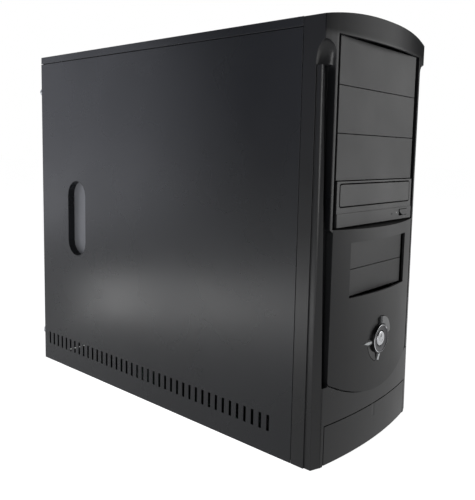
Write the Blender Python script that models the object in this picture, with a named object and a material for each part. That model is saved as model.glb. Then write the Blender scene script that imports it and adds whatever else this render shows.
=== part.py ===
"""A desktop computer tower in metres, +Z up, front facing -Y, standing on the floor at Z = 0.

Every part is modelled from the front plane of the steel body, where y = 0. The empty named case holds them
all, and moves them so that the whole tower is centred on the origin.
"""
import math

import bmesh
import bpy
from mathutils import Matrix, Vector

MM = 0.001

# Steel body
BODY_WIDTH = 192 * MM
BODY_DEPTH = 421 * MM
BODY_HEIGHT = 406 * MM
FOOT_HEIGHT = 8 * MM
SHEET = 1.0 * MM
FIT = 0.4 * MM            # gap between fixed neighbours
FOLD = 8.5 * MM           # side folds of the top cover
FLANGE = 8 * MM           # folded edges of a side panel
REAR_LIP = 14 * MM        # rear fold of a side panel, behind the rear wall
PANEL_TRAVEL = 20 * MM    # a side panel slides back this far before it lifts off

# Side panel pressings
SLOT_COUNT = 40
SLOT_PITCH = 9.75 * MM
SLOT_WIDTH = 3.2 * MM
SLOT_HEIGHT = 15.6 * MM
SLOT_START = 28 * MM
SLOT_FLOOR = 22.8 * MM    # above the panel's lower edge
GRIP_DEPTH = 9 * MM
GRIP_WIDTH = 37 * MM
GRIP_LENGTH = 95 * MM
GRIP_FROM_REAR = 78 * MM  # grip centre to the rear of the body
GRIP_HEIGHT = 200 * MM    # grip centre above the panel's lower edge

# Front bezel
CORNER_DEPTH = 23 * MM
FRONT_BOW = 9.5 * MM
CROWN = 8 * MM
CROWN_POWER = 2.5
WALL = 2.5 * MM
HOOD = 14.8 * MM          # hood front, from the steel top down to the drive bays
ARC_STEPS = 28
BACK_CAVITY = 11.5 * MM   # depth of the hollow behind the side columns
COLUMN = 3 * MM           # thin wall between a channel and the bays
RAIL_INSET = 1.5 * MM
RAIL = 2.5 * MM           # at its top; it widens downwards
RAIL_SPREAD = 7.5 * MM    # how much wider it is at the foot of the channel
RAIL_BACK = 14.3 * MM
RAIL_TOP = 42 * MM        # rail top below the steel top
RAIL_EDGE = (21.4 * MM, 17.6 * MM)     # depth of its outer edge, at the floor and at its top
RAIL_CREST = (25.0 * MM, 20.4 * MM)    # depth of its inner edge, at the floor and at its top
BAY_LEDGE = 20 * MM
CHANNEL_DEEP = 17.2 * MM  # depth of the channel's floor beside the drive bays
CHANNEL_SHALLOW = 19.6 * MM
CHANNEL_FOOT = 84 * MM
ARCH_TOP = 20.3 * MM      # arch apex below the steel top
ARCH_SHOULDER = 33 * MM   # where the arch meets the column, below the steel top
SCOOP_FLOOR = 49 * MM     # lower end of the scoop, below the steel top
SCOOP_DEPTH = 13.9 * MM

# Drive bays
BAY_PITCH = 42.3 * MM
BAY_COUNT = 4
BAY_FACE = 24.5 * MM
COVER_WIDTH = 148.4 * MM
COVER_THICK = 2.5 * MM
COVER_SEAM = 0.5 * MM
BAY_MARGIN = 5.3 * MM     # cover edge to the thin column
SMALL_BAY_PITCH = 25.6 * MM
SMALL_COVER_WIDTH = 102 * MM
SMALL_BAY_FACE = 28.5 * MM
SMALL_BAY_DROP = 14.6 * MM
SMALL_BAY_MARGIN = 3.5 * MM

# Lower front panel
PANEL_HALF = 78 * MM
PANEL_EDGE = 26 * MM
PANEL_FRONT = 36 * MM
PANEL_BACK = 18 * MM
PANEL_FOOT = 65 * MM      # height of its lowest point
PANEL_RISE = 21 * MM      # its lower edge rises this much towards each side
PANEL_SLOPE = 2.2 * MM    # its top falls this much from the bays to its front
PANEL_GAP = 1.3 * MM      # gap under its lower edge

# Button cluster
BUTTON_HEIGHT = 115 * MM
RING_RADIUS = 14.1 * MM
RING_BORE = 8.2 * MM
RING_RIM = 1.5 * MM
RING_DISH = 1.2 * MM
RING_PROUD = 2.0 * MM
RING_SEAT = 34.6 * MM
BUTTON_GAP = 0.7 * MM
BLADE_OUTER = RING_RADIUS + 8.5 * MM
BLADE_GAP = 0.45 * MM
BLADE_PROUD = 1.9 * MM
BLADE_CLEAR = 1.0 * MM
RESET_ARC = (8, 88)       # degrees round the ring, from its right-hand side
LOWER_ARC = (193, 250)
GROOVE_ARC = (96, 174)
GROOVE_DEPTH = 1.1 * MM
LAMP_PROUD = 0.5 * MM
LAMP_BACK = 28 * MM
LAMP_CLEAR = 1.5 * MM     # lamp to the ring

# Port door
DOOR_HALF = 80 * MM
DOOR_TOP = 46.4 * MM
DOOR_BOTTOM = 9 * MM
DOOR_THICK = 2.4 * MM
DOOR_GAP = 0.9 * MM
NOTCH = (7 * MM, 0.3 * MM, 12.5 * MM)   # width, depth and height of the thumb notch
DOOR_AXIS = (-21 * MM, 15 * MM)
DOOR_PIN = 1.5 * MM
PORT_WALL = 9 * MM

# Things bought to a standard size
PSU_SIZE = (150 * MM, 140 * MM, 86 * MM)
BOARD_SIZE = (244 * MM, 305 * MM)
BOARD_THICK = 1.6 * MM
SHIELD_SIZE = (44.5 * MM, 158.8 * MM)
SLOT_STEP = 20.32 * MM
FAN_SIZE = (80 * MM, 25 * MM)
DRIVE_WIDTH = 146 * MM
DRIVE_LENGTH = 165 * MM
DISK_SIZE = (101.6 * MM, 147 * MM, 26 * MM)
SCREW_HEAD = (5.5 * MM, 7 * MM)
SCREW_SHANK = 1.75 * MM
SCREW_HEIGHTS = (45 * MM, 370 * MM)

# Places that follow from the sizes above
HALF = BODY_WIDTH / 2
FLOOR = FOOT_HEIGHT
TOP = FOOT_HEIGHT + BODY_HEIGHT
BAY_TOP = TOP - HOOD
BAY_FLOOR = BAY_TOP - BAY_COUNT * BAY_PITCH
BAY_HALF = COVER_WIDTH / 2 + BAY_MARGIN
CHANNEL_IN = BAY_HALF + COLUMN
RAIL_OUT = HALF - RAIL_INSET
RAIL_IN = RAIL_OUT - RAIL
RAIL_END = TOP - RAIL_TOP
SMALL_TOP = BAY_FLOOR - SMALL_BAY_DROP
SMALL_FLOOR = SMALL_TOP - 2 * SMALL_BAY_PITCH
SMALL_HALF = SMALL_COVER_WIDTH / 2 + SMALL_BAY_MARGIN
REAR_WALL = BODY_DEPTH - 2 * SHEET - FIT       # outer face of the rear wall
REAR_INNER = REAR_WALL - SHEET
FRONT_WALL = 0.3 * MM + SHEET + 0.3 * MM       # outer face of the front wall
PAN_FLOOR = FLOOR + SHEET + 0.6 * MM
TRAY_X = HALF - GRIP_DEPTH - SHEET - 2.5 * MM  # outer face of the board tray
BOARD_X = TRAY_X - SHEET - 6.3 * MM            # soldered side of the board
FACE_X = BOARD_X - BOARD_THICK                 # component side of the board
PSU_TOP = TOP - 6 * MM
PSU_FLOOR = PSU_TOP - PSU_SIZE[2]
BOARD_TOP = PSU_FLOOR - 3 * MM
BOARD_REAR = REAR_INNER - 0.6 * MM
CAGE_HALF = COVER_WIDTH / 2 + 0.8 * MM
FRONT_REACH = PANEL_FRONT + RING_PROUD
REAR_REACH = BODY_DEPTH + FIT + SCREW_HEAD[1]
CENTRE_SHIFT = (FRONT_REACH - REAR_REACH) / 2
FAR = 60 * MM                                  # past any face that a cutter runs out through

BLACK_STEEL = ((0.012, 0.012, 0.014, 1), 0.42, 0.0)
ZINC = ((0.55, 0.56, 0.57, 1), 0.38, 1.0)
BLACK_PLASTIC = ((0.014, 0.014, 0.015, 1), 0.5, 0.0)
GLOSS_PLASTIC = ((0.01, 0.01, 0.011, 1), 0.2, 0.0)
RUBBER = ((0.02, 0.02, 0.02, 1), 0.8, 0.0)
SILVER = ((0.6, 0.6, 0.62, 1), 0.3, 1.0)
GREEN_BOARD = ((0.02, 0.10, 0.04, 1), 0.5, 0.0)
CABLE = ((0.03, 0.03, 0.03, 1), 0.6, 0.0)
LAMP = ((0.7, 0.72, 0.72, 1), 0.2, 0.0)


def clear_scene():
    for obj in list(bpy.data.objects):
        bpy.data.objects.remove(obj, do_unlink=True)


def empty(name, place, parent=None):
    obj = bpy.data.objects.new(name, None)
    obj.location = place
    obj.parent = parent
    bpy.context.scene.collection.objects.link(obj)
    return obj


clear_scene()
CASE = empty("case", (0, CENTRE_SHIFT, 0))


def from_bmesh(name, shape):
    bmesh.ops.recalc_face_normals(shape, faces=shape.faces)
    mesh = bpy.data.meshes.new(name)
    shape.to_mesh(mesh)
    shape.free()
    obj = bpy.data.objects.new(name, mesh)
    obj.parent = CASE
    bpy.context.scene.collection.objects.link(obj)
    return obj


def solid(name, rings):
    """A closed body through rings of equally many points, capped at both ends."""
    shape = bmesh.new()
    levels = [[shape.verts.new(point) for point in ring] for ring in rings]
    count = len(rings[0])
    for low, high in zip(levels, levels[1:]):
        for i in range(count):
            j = (i + 1) % count
            shape.faces.new((low[i], low[j], high[j], high[i]))
    shape.faces.new(levels[0])
    shape.faces.new(levels[-1])
    return from_bmesh(name, shape)


def prism(name, outline, axis, low, high):
    """An outline in the two other axes, in their order, drawn out along axis from low to high."""
    place = {
        "X": lambda a, b, t: (t, a, b),
        "Y": lambda a, b, t: (a, t, b),
        "Z": lambda a, b, t: (a, b, t),
    }[axis]
    return solid(name, [[place(a, b, t) for a, b in outline] for t in (low, high)])


def block(name, x, y, z):
    return prism(name, [(x[0], y[0]), (x[1], y[0]), (x[1], y[1]), (x[0], y[1])], "Z", *z)


def circle(radius, steps, centre=(0, 0), start=0.0):
    turn = [start + 2 * math.pi * i / steps for i in range(steps)]
    return [(centre[0] + radius * math.cos(t), centre[1] + radius * math.sin(t)) for t in turn]


def rod(name, axis, centre, radius, low, high, steps=16):
    obj = prism(name, circle(radius, steps, centre), axis, low, high)
    smooth(obj)
    return obj


def smooth(obj, angle=40):
    obj.data.shade_smooth()
    obj.data.set_sharp_from_angle(angle=math.radians(angle))


def helper(obj):
    obj.hide_render = True
    obj.display_type = "WIRE"
    return obj


def joined(name, objects):
    """One mesh of separate shapes that don't touch, to use as a cutter or as a set to unite."""
    shape = bmesh.new()
    for obj in objects:
        shape.from_mesh(obj.data)
        bpy.data.objects.remove(obj, do_unlink=True)
    return from_bmesh(name, shape)


def apply_tool(obj, operation, tools):
    for tool in tools:
        modifier = obj.modifiers.new(tool.name, "BOOLEAN")
        modifier.operation = operation
        modifier.solver = "EXACT"
        modifier.object = helper(tool)
    return obj


def cut(obj, *tools):
    return apply_tool(obj, "DIFFERENCE", tools)


def unite(obj, *tools):
    return apply_tool(obj, "UNION", tools)


def keep_common(obj, tool):
    return apply_tool(obj, "INTERSECT", [tool])


def finish(obj, look):
    colour, roughness, metallic = look
    material = bpy.data.materials.new(obj.name)
    material.use_nodes = True
    shader = material.node_tree.nodes["Principled BSDF"]
    shader.inputs["Base Color"].default_value = colour
    shader.inputs["Roughness"].default_value = roughness
    shader.inputs["Metallic"].default_value = metallic
    material.diffuse_color = colour
    obj.data.materials.append(material)
    return obj


def pivot(obj, point):
    """Moves an object's origin to a point of its joint's axis, and leaves its shape where it is."""
    place = Vector(point)
    obj.data.transform(Matrix.Translation(-place))
    obj.location = place
    return obj


def both_sides(name, maker):
    """A joined cutter of the shape that maker gives for side -1 and for side 1."""
    return joined(name, [maker(-1), maker(1)])


def span(side, inner, outer):
    """The X range between two distances from the middle, on one side of the tower."""
    return tuple(sorted((side * inner, side * outer)))


def bow(x, half, edge, front):
    """y of a front face that is edge deep at x = half and front deep in the middle."""
    return -(front - (front - edge) * (x / half) ** 2)


def bow_outline(half, back, inset=0.0, edge=CORNER_DEPTH, front=CORNER_DEPTH + FRONT_BOW, base=HALF):
    """A plan outline with straight sides from y = back and a bowed front, set back by inset."""
    steps = [half * (2 * i / ARC_STEPS - 1) for i in range(ARC_STEPS + 1)]
    front_line = [(x, bow(x, base, edge, front) + inset) for x in steps]
    return [(-half, back)] + front_line + [(half, back)]


def crown_outline(half, low, drop=0.0):
    """An elevation outline with a flat base at low and a crowned top, drop below the hood's top."""
    steps = [HALF * (1 - 2 * i / ARC_STEPS) for i in range(ARC_STEPS + 1)]
    top = [
        (x, TOP - 0.4 * MM + CROWN * (1 - abs(x / HALF) ** CROWN_POWER) - drop)
        for x in steps
        if abs(x) < half
    ]
    edge = TOP - 0.4 * MM + CROWN * (1 - abs(half / HALF) ** CROWN_POWER) - drop
    return [(-half, low), (half, low), (half, edge)] + top + [(-half, edge)]


# ---------------------------------------------------------------- steel body


def base_pan():
    pan = block("base_pan", (-HALF + 1.4 * MM, HALF - 1.4 * MM), (3 * MM, REAR_INNER - FIT),
                (PAN_FLOOR, PAN_FLOOR + SHEET))
    holes = [rod("foot_hole", "Z", place, FOOT_PIN + 0.3 * MM, PAN_FLOOR - SHEET, PAN_FLOOR + 2 * SHEET, 12)
             for place in foot_places()]
    return finish(cut(pan, joined("foot_holes", holes)), ZINC)


FOOT_RADIUS = 10 * MM
FOOT_PIN = 2.5 * MM
FOOT_INSET = 24 * MM


def foot_places():
    x = HALF - FOOT_INSET
    ends = (40 * MM, BODY_DEPTH - 36 * MM)
    return [(side * x, y) for y in ends for side in (-1, 1)]


def feet():
    for name, (x, y) in zip(("front_left", "front_right", "rear_left", "rear_right"), foot_places()):
        heights = (0, 1.5 * MM, PAN_FLOOR - 0.3 * MM)
        radii = (FOOT_RADIUS - 1.5 * MM, FOOT_RADIUS, FOOT_RADIUS - 1 * MM)
        pin = (PAN_FLOOR - 0.3 * MM, PAN_FLOOR + SHEET + 2 * MM)
        rings = [[(px, py, z) for px, py in circle(r, 20, (x, y))] for z, r in zip(heights, radii)]
        rings += [[(px, py, z) for px, py in circle(FOOT_PIN, 20, (x, y))] for z in pin]
        foot = solid("foot_" + name, rings)
        smooth(foot)
        finish(foot, RUBBER)


def top_cover():
    outline = [(-HALF, TOP - FOLD), (-HALF, TOP), (HALF, TOP), (HALF, TOP - FOLD),
               (HALF - SHEET, TOP - FOLD), (HALF - SHEET, TOP - SHEET),
               (-HALF + SHEET, TOP - SHEET), (-HALF + SHEET, TOP - FOLD)]
    cover = prism("top_cover", outline, "Y", 0.3 * MM, BODY_DEPTH)
    lip = block("top_cover_lip", (-HALF + REAR_LIP, HALF - REAR_LIP), (BODY_DEPTH - SHEET, BODY_DEPTH),
                (TOP - 8 * MM, TOP - 0.5 * SHEET))
    return finish(unite(cover, lip), BLACK_STEEL)


def front_wall():
    half = HALF - FLANGE - FIT
    wall = block("front_wall", (-half, half), (FRONT_WALL, FRONT_WALL + SHEET),
                 (PAN_FLOOR + SHEET + FIT, TOP - SHEET - FIT))
    y = (0, 3 * MM + FIT)
    windows = [
        block("bay_window", (-COVER_WIDTH / 2 - 0.5 * MM, COVER_WIDTH / 2 + 0.5 * MM), y,
              (BAY_FLOOR + 0.3 * MM, BAY_TOP - 0.3 * MM)),
        block("small_bay_window", (-SMALL_COVER_WIDTH / 2, SMALL_COVER_WIDTH / 2), y,
              (SMALL_FLOOR, SMALL_TOP)),
        block("port_window", (-PORT_HALF - 2 * MM, PORT_HALF + 2 * MM), y, (14 * MM, 44 * MM)),
    ]
    for row in range(6):
        z = 62 * MM + row * 12 * MM
        windows.append(block("intake", (-40 * MM, 40 * MM), y, (z, z + 5 * MM)))
    for x, z in clip_places():
        windows.append(block("clip_hole", (x - 5 * MM, x + 5 * MM), y, (z - 3 * MM, z + 3 * MM)))
    return finish(cut(wall, joined("front_wall_windows", windows)), ZINC)


def clip_places():
    """Where the bezel's snap hooks pass through the front wall."""
    x = HALF - 14 * MM
    return [(side * x, z) for z in (60 * MM, TOP - 22 * MM) for side in (-1, 1)]


FAN_X = -HALF + 12 * MM + FAN_SIZE[0] / 2
FAN_Z = PSU_FLOOR - 20 * MM - FAN_SIZE[0] / 2
PSU_FAN = (30 * MM, PSU_FLOOR + PSU_SIZE[2] / 2)
SLOT_TOP = BOARD_TOP - SHIELD_SIZE[1] - 8 * MM
SLOT_USED = 7
SLOT_X = (FACE_X - 106 * MM, FACE_X + 2 * MM)


def slot_z(index):
    return SLOT_TOP - index * SLOT_STEP


def rear_wall():
    wall = block("rear_wall", (-HALF + 1.4 * MM, HALF - 1.4 * MM), (REAR_INNER, REAR_WALL),
                 (PAN_FLOOR + SHEET + FIT, TOP - SHEET - FIT))
    y = (REAR_INNER - 2 * MM, REAR_WALL + SHEET / 2)
    windows = [
        block("psu_window", (-PSU_SIZE[0] / 2 + 6 * MM, PSU_SIZE[0] / 2 - 6 * MM), y,
              (PSU_FLOOR + 5 * MM, PSU_TOP - 5 * MM)),
        block("shield_window", (FACE_X + 2 * MM - SHIELD_SIZE[0], FACE_X + 2 * MM), y,
              (BOARD_TOP - SHIELD_SIZE[1], BOARD_TOP)),
    ]
    for index in range(SLOT_USED):
        z = slot_z(index)
        windows.append(block("slot_window", (SLOT_X[0] + 6 * MM, SLOT_X[1] - 4 * MM), y,
                             (z - 12 * MM, z + 2 * MM)))
    radius = FAN_SIZE[0] / 2 - 3 * MM
    for row in range(-4, 5):
        z = FAN_Z + row * 8 * MM
        reach = math.sqrt(radius ** 2 - (row * 8 * MM) ** 2)
        windows.append(block("fan_vent", (FAN_X - reach, FAN_X + reach), y, (z - 2.5 * MM, z + 2.5 * MM)))
    for side in (-1, 1):
        for z in SCREW_HEIGHTS:
            windows.append(rod("screw_hole", "Y", (side * SCREW_X, z), SCREW_SHANK + 0.35 * MM, *y, 12))
    return finish(cut(wall, joined("rear_wall_windows", windows)), ZINC)


SCREW_X = HALF - 7.5 * MM


def pill(width, length, centre, steps=8):
    """An upright slot outline with half-round ends."""
    radius = width / 2
    reach = length / 2 - radius
    top = [math.pi * i / steps for i in range(steps + 1)]
    upper = [(centre[0] + radius * math.cos(t), centre[1] + reach + radius * math.sin(t)) for t in top]
    lower = [(centre[0] - radius * math.cos(t), centre[1] - reach - radius * math.sin(t)) for t in top]
    return upper + lower


def side_panel(side, name):
    """A sheet with folded edges, a row of vent slots and a pressed finger grip."""
    low, high = FLOOR, TOP - FOLD - FIT
    ends = (0.3 * MM, BODY_DEPTH)
    panel = block(name, span(side, HALF - SHEET, HALF), ends, (low, high))
    overlap = span(side, HALF - FLANGE, HALF - SHEET / 2)
    hook = (24 * MM, REAR_INNER - PANEL_TRAVEL - 1.5 * MM)
    folds = [
        block(name + "_front_fold", overlap, (ends[0], ends[0] + SHEET),
              (PAN_FLOOR + SHEET + FIT, high - SHEET * 2)),
        block(name + "_top_fold", overlap, hook, (high - SHEET, high)),
        block(name + "_bottom_fold", overlap, hook, (low, low + SHEET)),
        block(name + "_rear_fold", span(side, HALF - REAR_LIP, HALF - SHEET / 2), (ends[1] - SHEET, ends[1]),
              (low + SHEET * 2, high - SHEET * 2)),
    ]
    centre = (BODY_DEPTH - GRIP_FROM_REAR, low + GRIP_HEIGHT)
    tub = prism(name + "_tub", pill(GRIP_WIDTH + 2 * SHEET, GRIP_LENGTH + 2 * SHEET, centre), "X",
                *span(side, HALF - GRIP_DEPTH - SHEET, HALF - SHEET / 2))
    unite(panel, joined(name + "_folds", folds), tub)
    hollow = prism(name + "_grip", pill(GRIP_WIDTH, GRIP_LENGTH, centre), "X",
                   *span(side, HALF - GRIP_DEPTH, HALF + FAR))
    slots = []
    for i in range(SLOT_COUNT):
        y = SLOT_START + i * SLOT_PITCH
        slots.append(block("slot", span(side, HALF - 2 * SHEET, HALF + SHEET),
                           (y - SLOT_WIDTH / 2, y + SLOT_WIDTH / 2),
                           (low + SLOT_FLOOR, low + SLOT_FLOOR + SLOT_HEIGHT)))
    holes = [rod("lip_hole", "Y", (side * SCREW_X, z), SCREW_SHANK + 0.35 * MM,
                 ends[1] - 3 * SHEET, ends[1] + SHEET, 12) for z in SCREW_HEIGHTS]
    cut(panel, hollow, joined(name + "_slots", slots), joined(name + "_screw_holes", holes))
    pivot(panel, (side * HALF, 0, 0))
    return finish(panel, BLACK_STEEL)


def thumb_screws():
    """Captive screws with a fluted head, one per node, each turning on its own axis."""
    head = BODY_DEPTH + FIT
    for side, label in ((-1, "left"), (1, "right")):
        for z, level in zip(SCREW_HEIGHTS, ("lower", "upper")):
            name = f"thumb_screw_{label}_{level}"
            centre = (side * SCREW_X, z)
            flutes = []
            for i in range(24):
                turn = 2 * math.pi * i / 24
                radius = SCREW_HEAD[0] - (0.5 * MM if i % 2 else 0)
                flutes.append((centre[0] + radius * math.cos(turn), centre[1] + radius * math.sin(turn)))
            screw = prism(name, flutes, "Y", head, head + SCREW_HEAD[1])
            shank = rod(name + "_shank", "Y", centre, SCREW_SHANK, REAR_INNER - 5 * MM, head + 1 * MM, 12)
            slot = block(name + "_slot", (centre[0] - 3.5 * MM, centre[0] + 3.5 * MM),
                         (head + SCREW_HEAD[1] - 1.2 * MM, head + FAR), (z - 0.6 * MM, z + 0.6 * MM))
            unite(screw, shank)
            cut(screw, slot)
            pivot(screw, (centre[0], head, z))
            finish(screw, ZINC)


def board_tray():
    y = (BOARD_REAR - BOARD_SIZE[0] - 6 * MM, REAR_INNER - FIT)
    tray = block("board_tray", (TRAY_X - SHEET, TRAY_X), y,
                 (PAN_FLOOR + SHEET + FIT, BOARD_TOP + 2 * MM))
    posts = []
    for across in (12 * MM, 122 * MM, 232 * MM):
        for up in (10 * MM, 150 * MM, 295 * MM):
            posts.append(rod("post", "X", (BOARD_REAR - across, BOARD_TOP - BOARD_SIZE[1] + up), 2.5 * MM,
                             BOARD_X + 0.3 * MM, TRAY_X - SHEET / 2, 8))
    return finish(unite(tray, joined("posts", posts)), ZINC)


def drive_cage():
    """Holds four 5.25 inch bays between two side walls, under a top plate."""
    y = (FRONT_WALL + SHEET + FIT, DRIVE_LENGTH)
    outer, inner = CAGE_HALF + SHEET, CAGE_HALF
    low, high = BAY_FLOOR - 1.5 * MM, BAY_TOP + 2 * MM
    outline = [(-outer, low), (-outer, high), (outer, high), (outer, low), (inner, low),
               (inner, high - SHEET), (-inner, high - SHEET), (-inner, low)]
    cage = prism("drive_cage", outline, "Y", *y)
    shelf = block("drive_cage_shelf", (-outer + SHEET / 2, outer - SHEET / 2), y, (low, low + SHEET))
    unite(cage, shelf)
    slots = []
    for bay in range(BAY_COUNT):
        z = BAY_FLOOR + (bay + 0.5) * BAY_PITCH
        for along in (50 * MM, 110 * MM):
            slots.append(block("rail_slot", (-FAR * 2, FAR * 2), (along - 12 * MM, along + 12 * MM),
                               (z - 3 * MM, z + 3 * MM)))
    return finish(cut(cage, joined("cage_slots", slots)), ZINC)


def disk_cage():
    """Hangs below the drive cage and holds the 3.5 inch bays and the hard disk."""
    y = (FRONT_WALL + SHEET + FIT, 150 * MM)
    inner = SMALL_COVER_WIDTH / 2 + 0.6 * MM
    outer = inner + SHEET
    low, high = 96 * MM, BAY_FLOOR - 1.5 * MM - FIT
    outline = [(-outer, low), (-outer, high), (outer, high), (outer, low), (inner, low),
               (inner, high - SHEET), (-inner, high - SHEET), (-inner, low)]
    cage = prism("disk_cage", outline, "Y", *y)
    slots = [block("disk_slot", (-FAR * 2, FAR * 2), (60 * MM, 100 * MM), (z, z + 6 * MM))
             for z in (112 * MM, 140 * MM, SMALL_FLOOR + 10 * MM)]
    return finish(cut(cage, joined("disk_slots", slots)), ZINC)


# ---------------------------------------------------------------- front bezel


def scoop(side):
    """The domed upper end of a channel: rings of quarter ellipses round the hood's corner."""
    apex, shoulder, rail_top = TOP - ARCH_TOP, TOP - ARCH_SHOULDER, RAIL_END
    corner = bow(CHANNEL_IN, HALF, CORNER_DEPTH, CORNER_DEPTH + FRONT_BOW)
    across_full, deep_full = HALF - CHANNEL_IN, -SCOOP_DEPTH - corner
    rings = []
    levels = 10
    for i in range(levels + 1):
        z = rail_top + (apex - rail_top) * math.sin(0.5 * math.pi * i / levels * 0.985)
        deep = deep_full * math.sqrt(1 - ((z - rail_top) / (apex - rail_top)) ** 2)
        over = max(0.0, (z - shoulder) / (apex - shoulder))
        across = across_full * math.sqrt(1 - over ** 2)
        rings.append(scoop_ring(side, z, HALF, across, corner, deep))
    return solid("scoop", rings)


def scoop_ring(side, z, start, across, corner, deep):
    turn = [0.5 * math.pi * i / 8 for i in range(9)]
    inner = [(side * (start - across * math.cos(t)), corner + deep * math.sin(t), z) for t in turn]
    outer = [(side * (start + 2 * MM), corner + deep, z), (side * (start + 2 * MM), corner - FAR, z)]
    return inner + outer + [(side * (start - across), corner - FAR, z)]


def scoop_ramp(side):
    """Below the rail's top the scoop runs out into the channel's floor."""
    rail_top, floor = RAIL_END, TOP - SCOOP_FLOOR
    corner = bow(CHANNEL_IN, HALF, CORNER_DEPTH, CORNER_DEPTH + FRONT_BOW)
    across = RAIL_IN - CHANNEL_IN
    full = -SCOOP_DEPTH - corner
    rings = []
    for i in range(5):
        share = i / 4
        z = floor + (rail_top + 0.5 * MM - floor) * share
        deep = (-CHANNEL_DEEP - corner) + (full + CHANNEL_DEEP + corner) * math.sqrt(share)
        turn = [0.5 * math.pi * k / 4 for k in range(5)]
        inner = [(side * (RAIL_IN - across * math.cos(t)), corner + deep * math.sin(t), z) for t in turn]
        rings.append(inner + [(side * RAIL_IN, corner - FAR, z),
                              (side * (RAIL_IN - across), corner - FAR, z)])
    return solid("scoop_ramp", rings)


def rail_inner(z):
    """Distance of a rail's inner edge from the middle: the rail widens towards the channel's foot."""
    share = min(1.0, max(0.0, (RAIL_END - z) / (RAIL_END - CHANNEL_FOOT)))
    return RAIL_IN - RAIL_SPREAD * share


def rail_front(side):
    """What is cut off in front of a rail, which leaves it a slanted front from floor to top."""
    rings = []
    for z in (0, CHANNEL_FOOT, RAIL_END):
        share = (z - FLOOR) / (RAIL_END - FLOOR)
        edge = RAIL_EDGE[0] + (RAIL_EDGE[1] - RAIL_EDGE[0]) * share
        crest = RAIL_CREST[0] + (RAIL_CREST[1] - RAIL_CREST[0]) * share
        inner = rail_inner(z)
        rings.append([(side * (HALF + 3 * MM), -edge, z), (side * RAIL_OUT, -edge, z),
                      (side * inner, -crest, z),
                      (side * inner, -FAR, z), (side * (HALF + 3 * MM), -FAR, z)])
    return solid("rail_front", rings)


def channel(side):
    """The groove between a rail and the bays, shallower and wider inwards beside the lower panel."""
    step = BAY_FLOOR - 1 * MM
    levels = ((CHANNEL_FOOT, PANEL_HALF + FIT, CHANNEL_SHALLOW),
              (step - 3 * MM, PANEL_HALF + FIT, CHANNEL_SHALLOW),
              (step, CHANNEL_IN, CHANNEL_SHALLOW), (step + 20 * MM, CHANNEL_IN, CHANNEL_DEEP),
              (RAIL_END, CHANNEL_IN, CHANNEL_DEEP))
    rings = [[(side * inner, -FAR, z), (side * rail_inner(z), -FAR, z), (side * rail_inner(z), -depth, z),
              (side * inner, -depth, z)] for z, inner, depth in levels]
    return solid("channel", rings)


def panel_bottom(x, clear=0.0):
    return PANEL_FOOT + PANEL_RISE * (x / PANEL_HALF) ** 2 - clear


def panel_elevation(half, top, clear=0.0, corner=4 * MM):
    """The lower panel from the front: a dished lower edge with rounded corners and a straight top."""
    steps = [half - corner - (2 * (half - corner)) * i / ARC_STEPS for i in range(ARC_STEPS + 1)]
    lower = [(x, panel_bottom(x, clear)) for x in steps]
    foot = panel_bottom(half - corner, clear)
    return [(-half, top), (half, top), (half, foot + corner), (half - 0.3 * corner, foot + 0.3 * corner)] \
        + lower + [(-half + 0.3 * corner, foot + 0.3 * corner), (-half, foot + corner)]


PORT_HALF = 33 * MM


def front_bezel():
    bezel = prism("front_bezel", bow_outline(HALF, -0.1 * MM), "Z", FLOOR, TOP + CROWN + 5 * MM)
    keep_common(bezel, prism("bezel_front_shape", crown_outline(HALF + 0.001 * MM, FLOOR - 0.001 * MM), "Y",
                             -FAR, FAR))

    inner = HALF - WALL
    middle = BAY_HALF - 2 * MM
    plan = [(-inner, FAR), (-inner, -BACK_CAVITY), (-middle, -BACK_CAVITY)]
    plan += bow_outline(middle, -BACK_CAVITY, WALL)[1:-1]
    plan += [(middle, -BACK_CAVITY), (inner, -BACK_CAVITY), (inner, FAR)]
    hollow = prism("bezel_hollow", plan, "Z", DOOR_TOP + FIT + WALL, TOP + CROWN)
    keep_common(hollow, prism("bezel_hollow_shape", crown_outline(inner + 0.001 * MM, FLOOR, WALL), "Y",
                              -2 * FAR, 2 * FAR))
    cut(bezel, hollow)

    chin = block("bezel_chin_hollow", (-inner, inner), (-PORT_WALL + WALL, FAR),
                 (FLOOR + WALL, DOOR_TOP + FIT + 2 * WALL))
    bays = block("bezel_bays", (-BAY_HALF, BAY_HALF), (-FAR, -BAY_LEDGE),
                 (BAY_FLOOR - 1 * MM, BAY_TOP))
    lower = prism("bezel_lower_opening",
                  panel_elevation(PANEL_HALF + FIT, BAY_FLOOR + 1 * MM, PANEL_GAP), "Y", -FAR, FAR)
    door = block("bezel_door_recess", (-DOOR_HALF - DOOR_GAP, DOOR_HALF + DOOR_GAP), (-FAR, -PORT_WALL),
                 (-FAR, DOOR_TOP + DOOR_GAP))
    ports = block("bezel_port_window", (-PORT_HALF, PORT_HALF), (-PORT_WALL - 3 * MM, FAR / 2),
                  (17 * MM, 41 * MM))
    pins = both_sides("bezel_pin_holes", lambda side: rod(
        "pin_hole", "X", DOOR_AXIS, DOOR_PIN + 0.3 * MM,
        *span(side, DOOR_HALF - 1 * MM, DOOR_HALF + 4 * MM), 12))
    cut(bezel, chin, bays, lower, door, ports, pins)

    steps = both_sides("bezel_rail_steps", lambda side: block(
        "rail_step", span(side, RAIL_OUT, HALF + 2 * MM), (-FAR, -RAIL_BACK), (0, RAIL_END)))
    cut(bezel, steps, both_sides("bezel_rail_fronts", rail_front), both_sides("bezel_channels", channel),
        both_sides("bezel_scoops", scoop), both_sides("bezel_ramps", scoop_ramp))

    hooks = []
    for x, z in clip_places():
        hooks.append(block("hook", (x - 3.5 * MM, x + 3.5 * MM),
                           (-BACK_CAVITY - 0.5 * MM, FRONT_WALL + 6 * MM),
                           (z - 1.25 * MM, z + 1.25 * MM)))
    unite(bezel, joined("bezel_hooks", hooks))
    smooth(bezel, 25)
    return finish(bezel, BLACK_PLASTIC)


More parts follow.
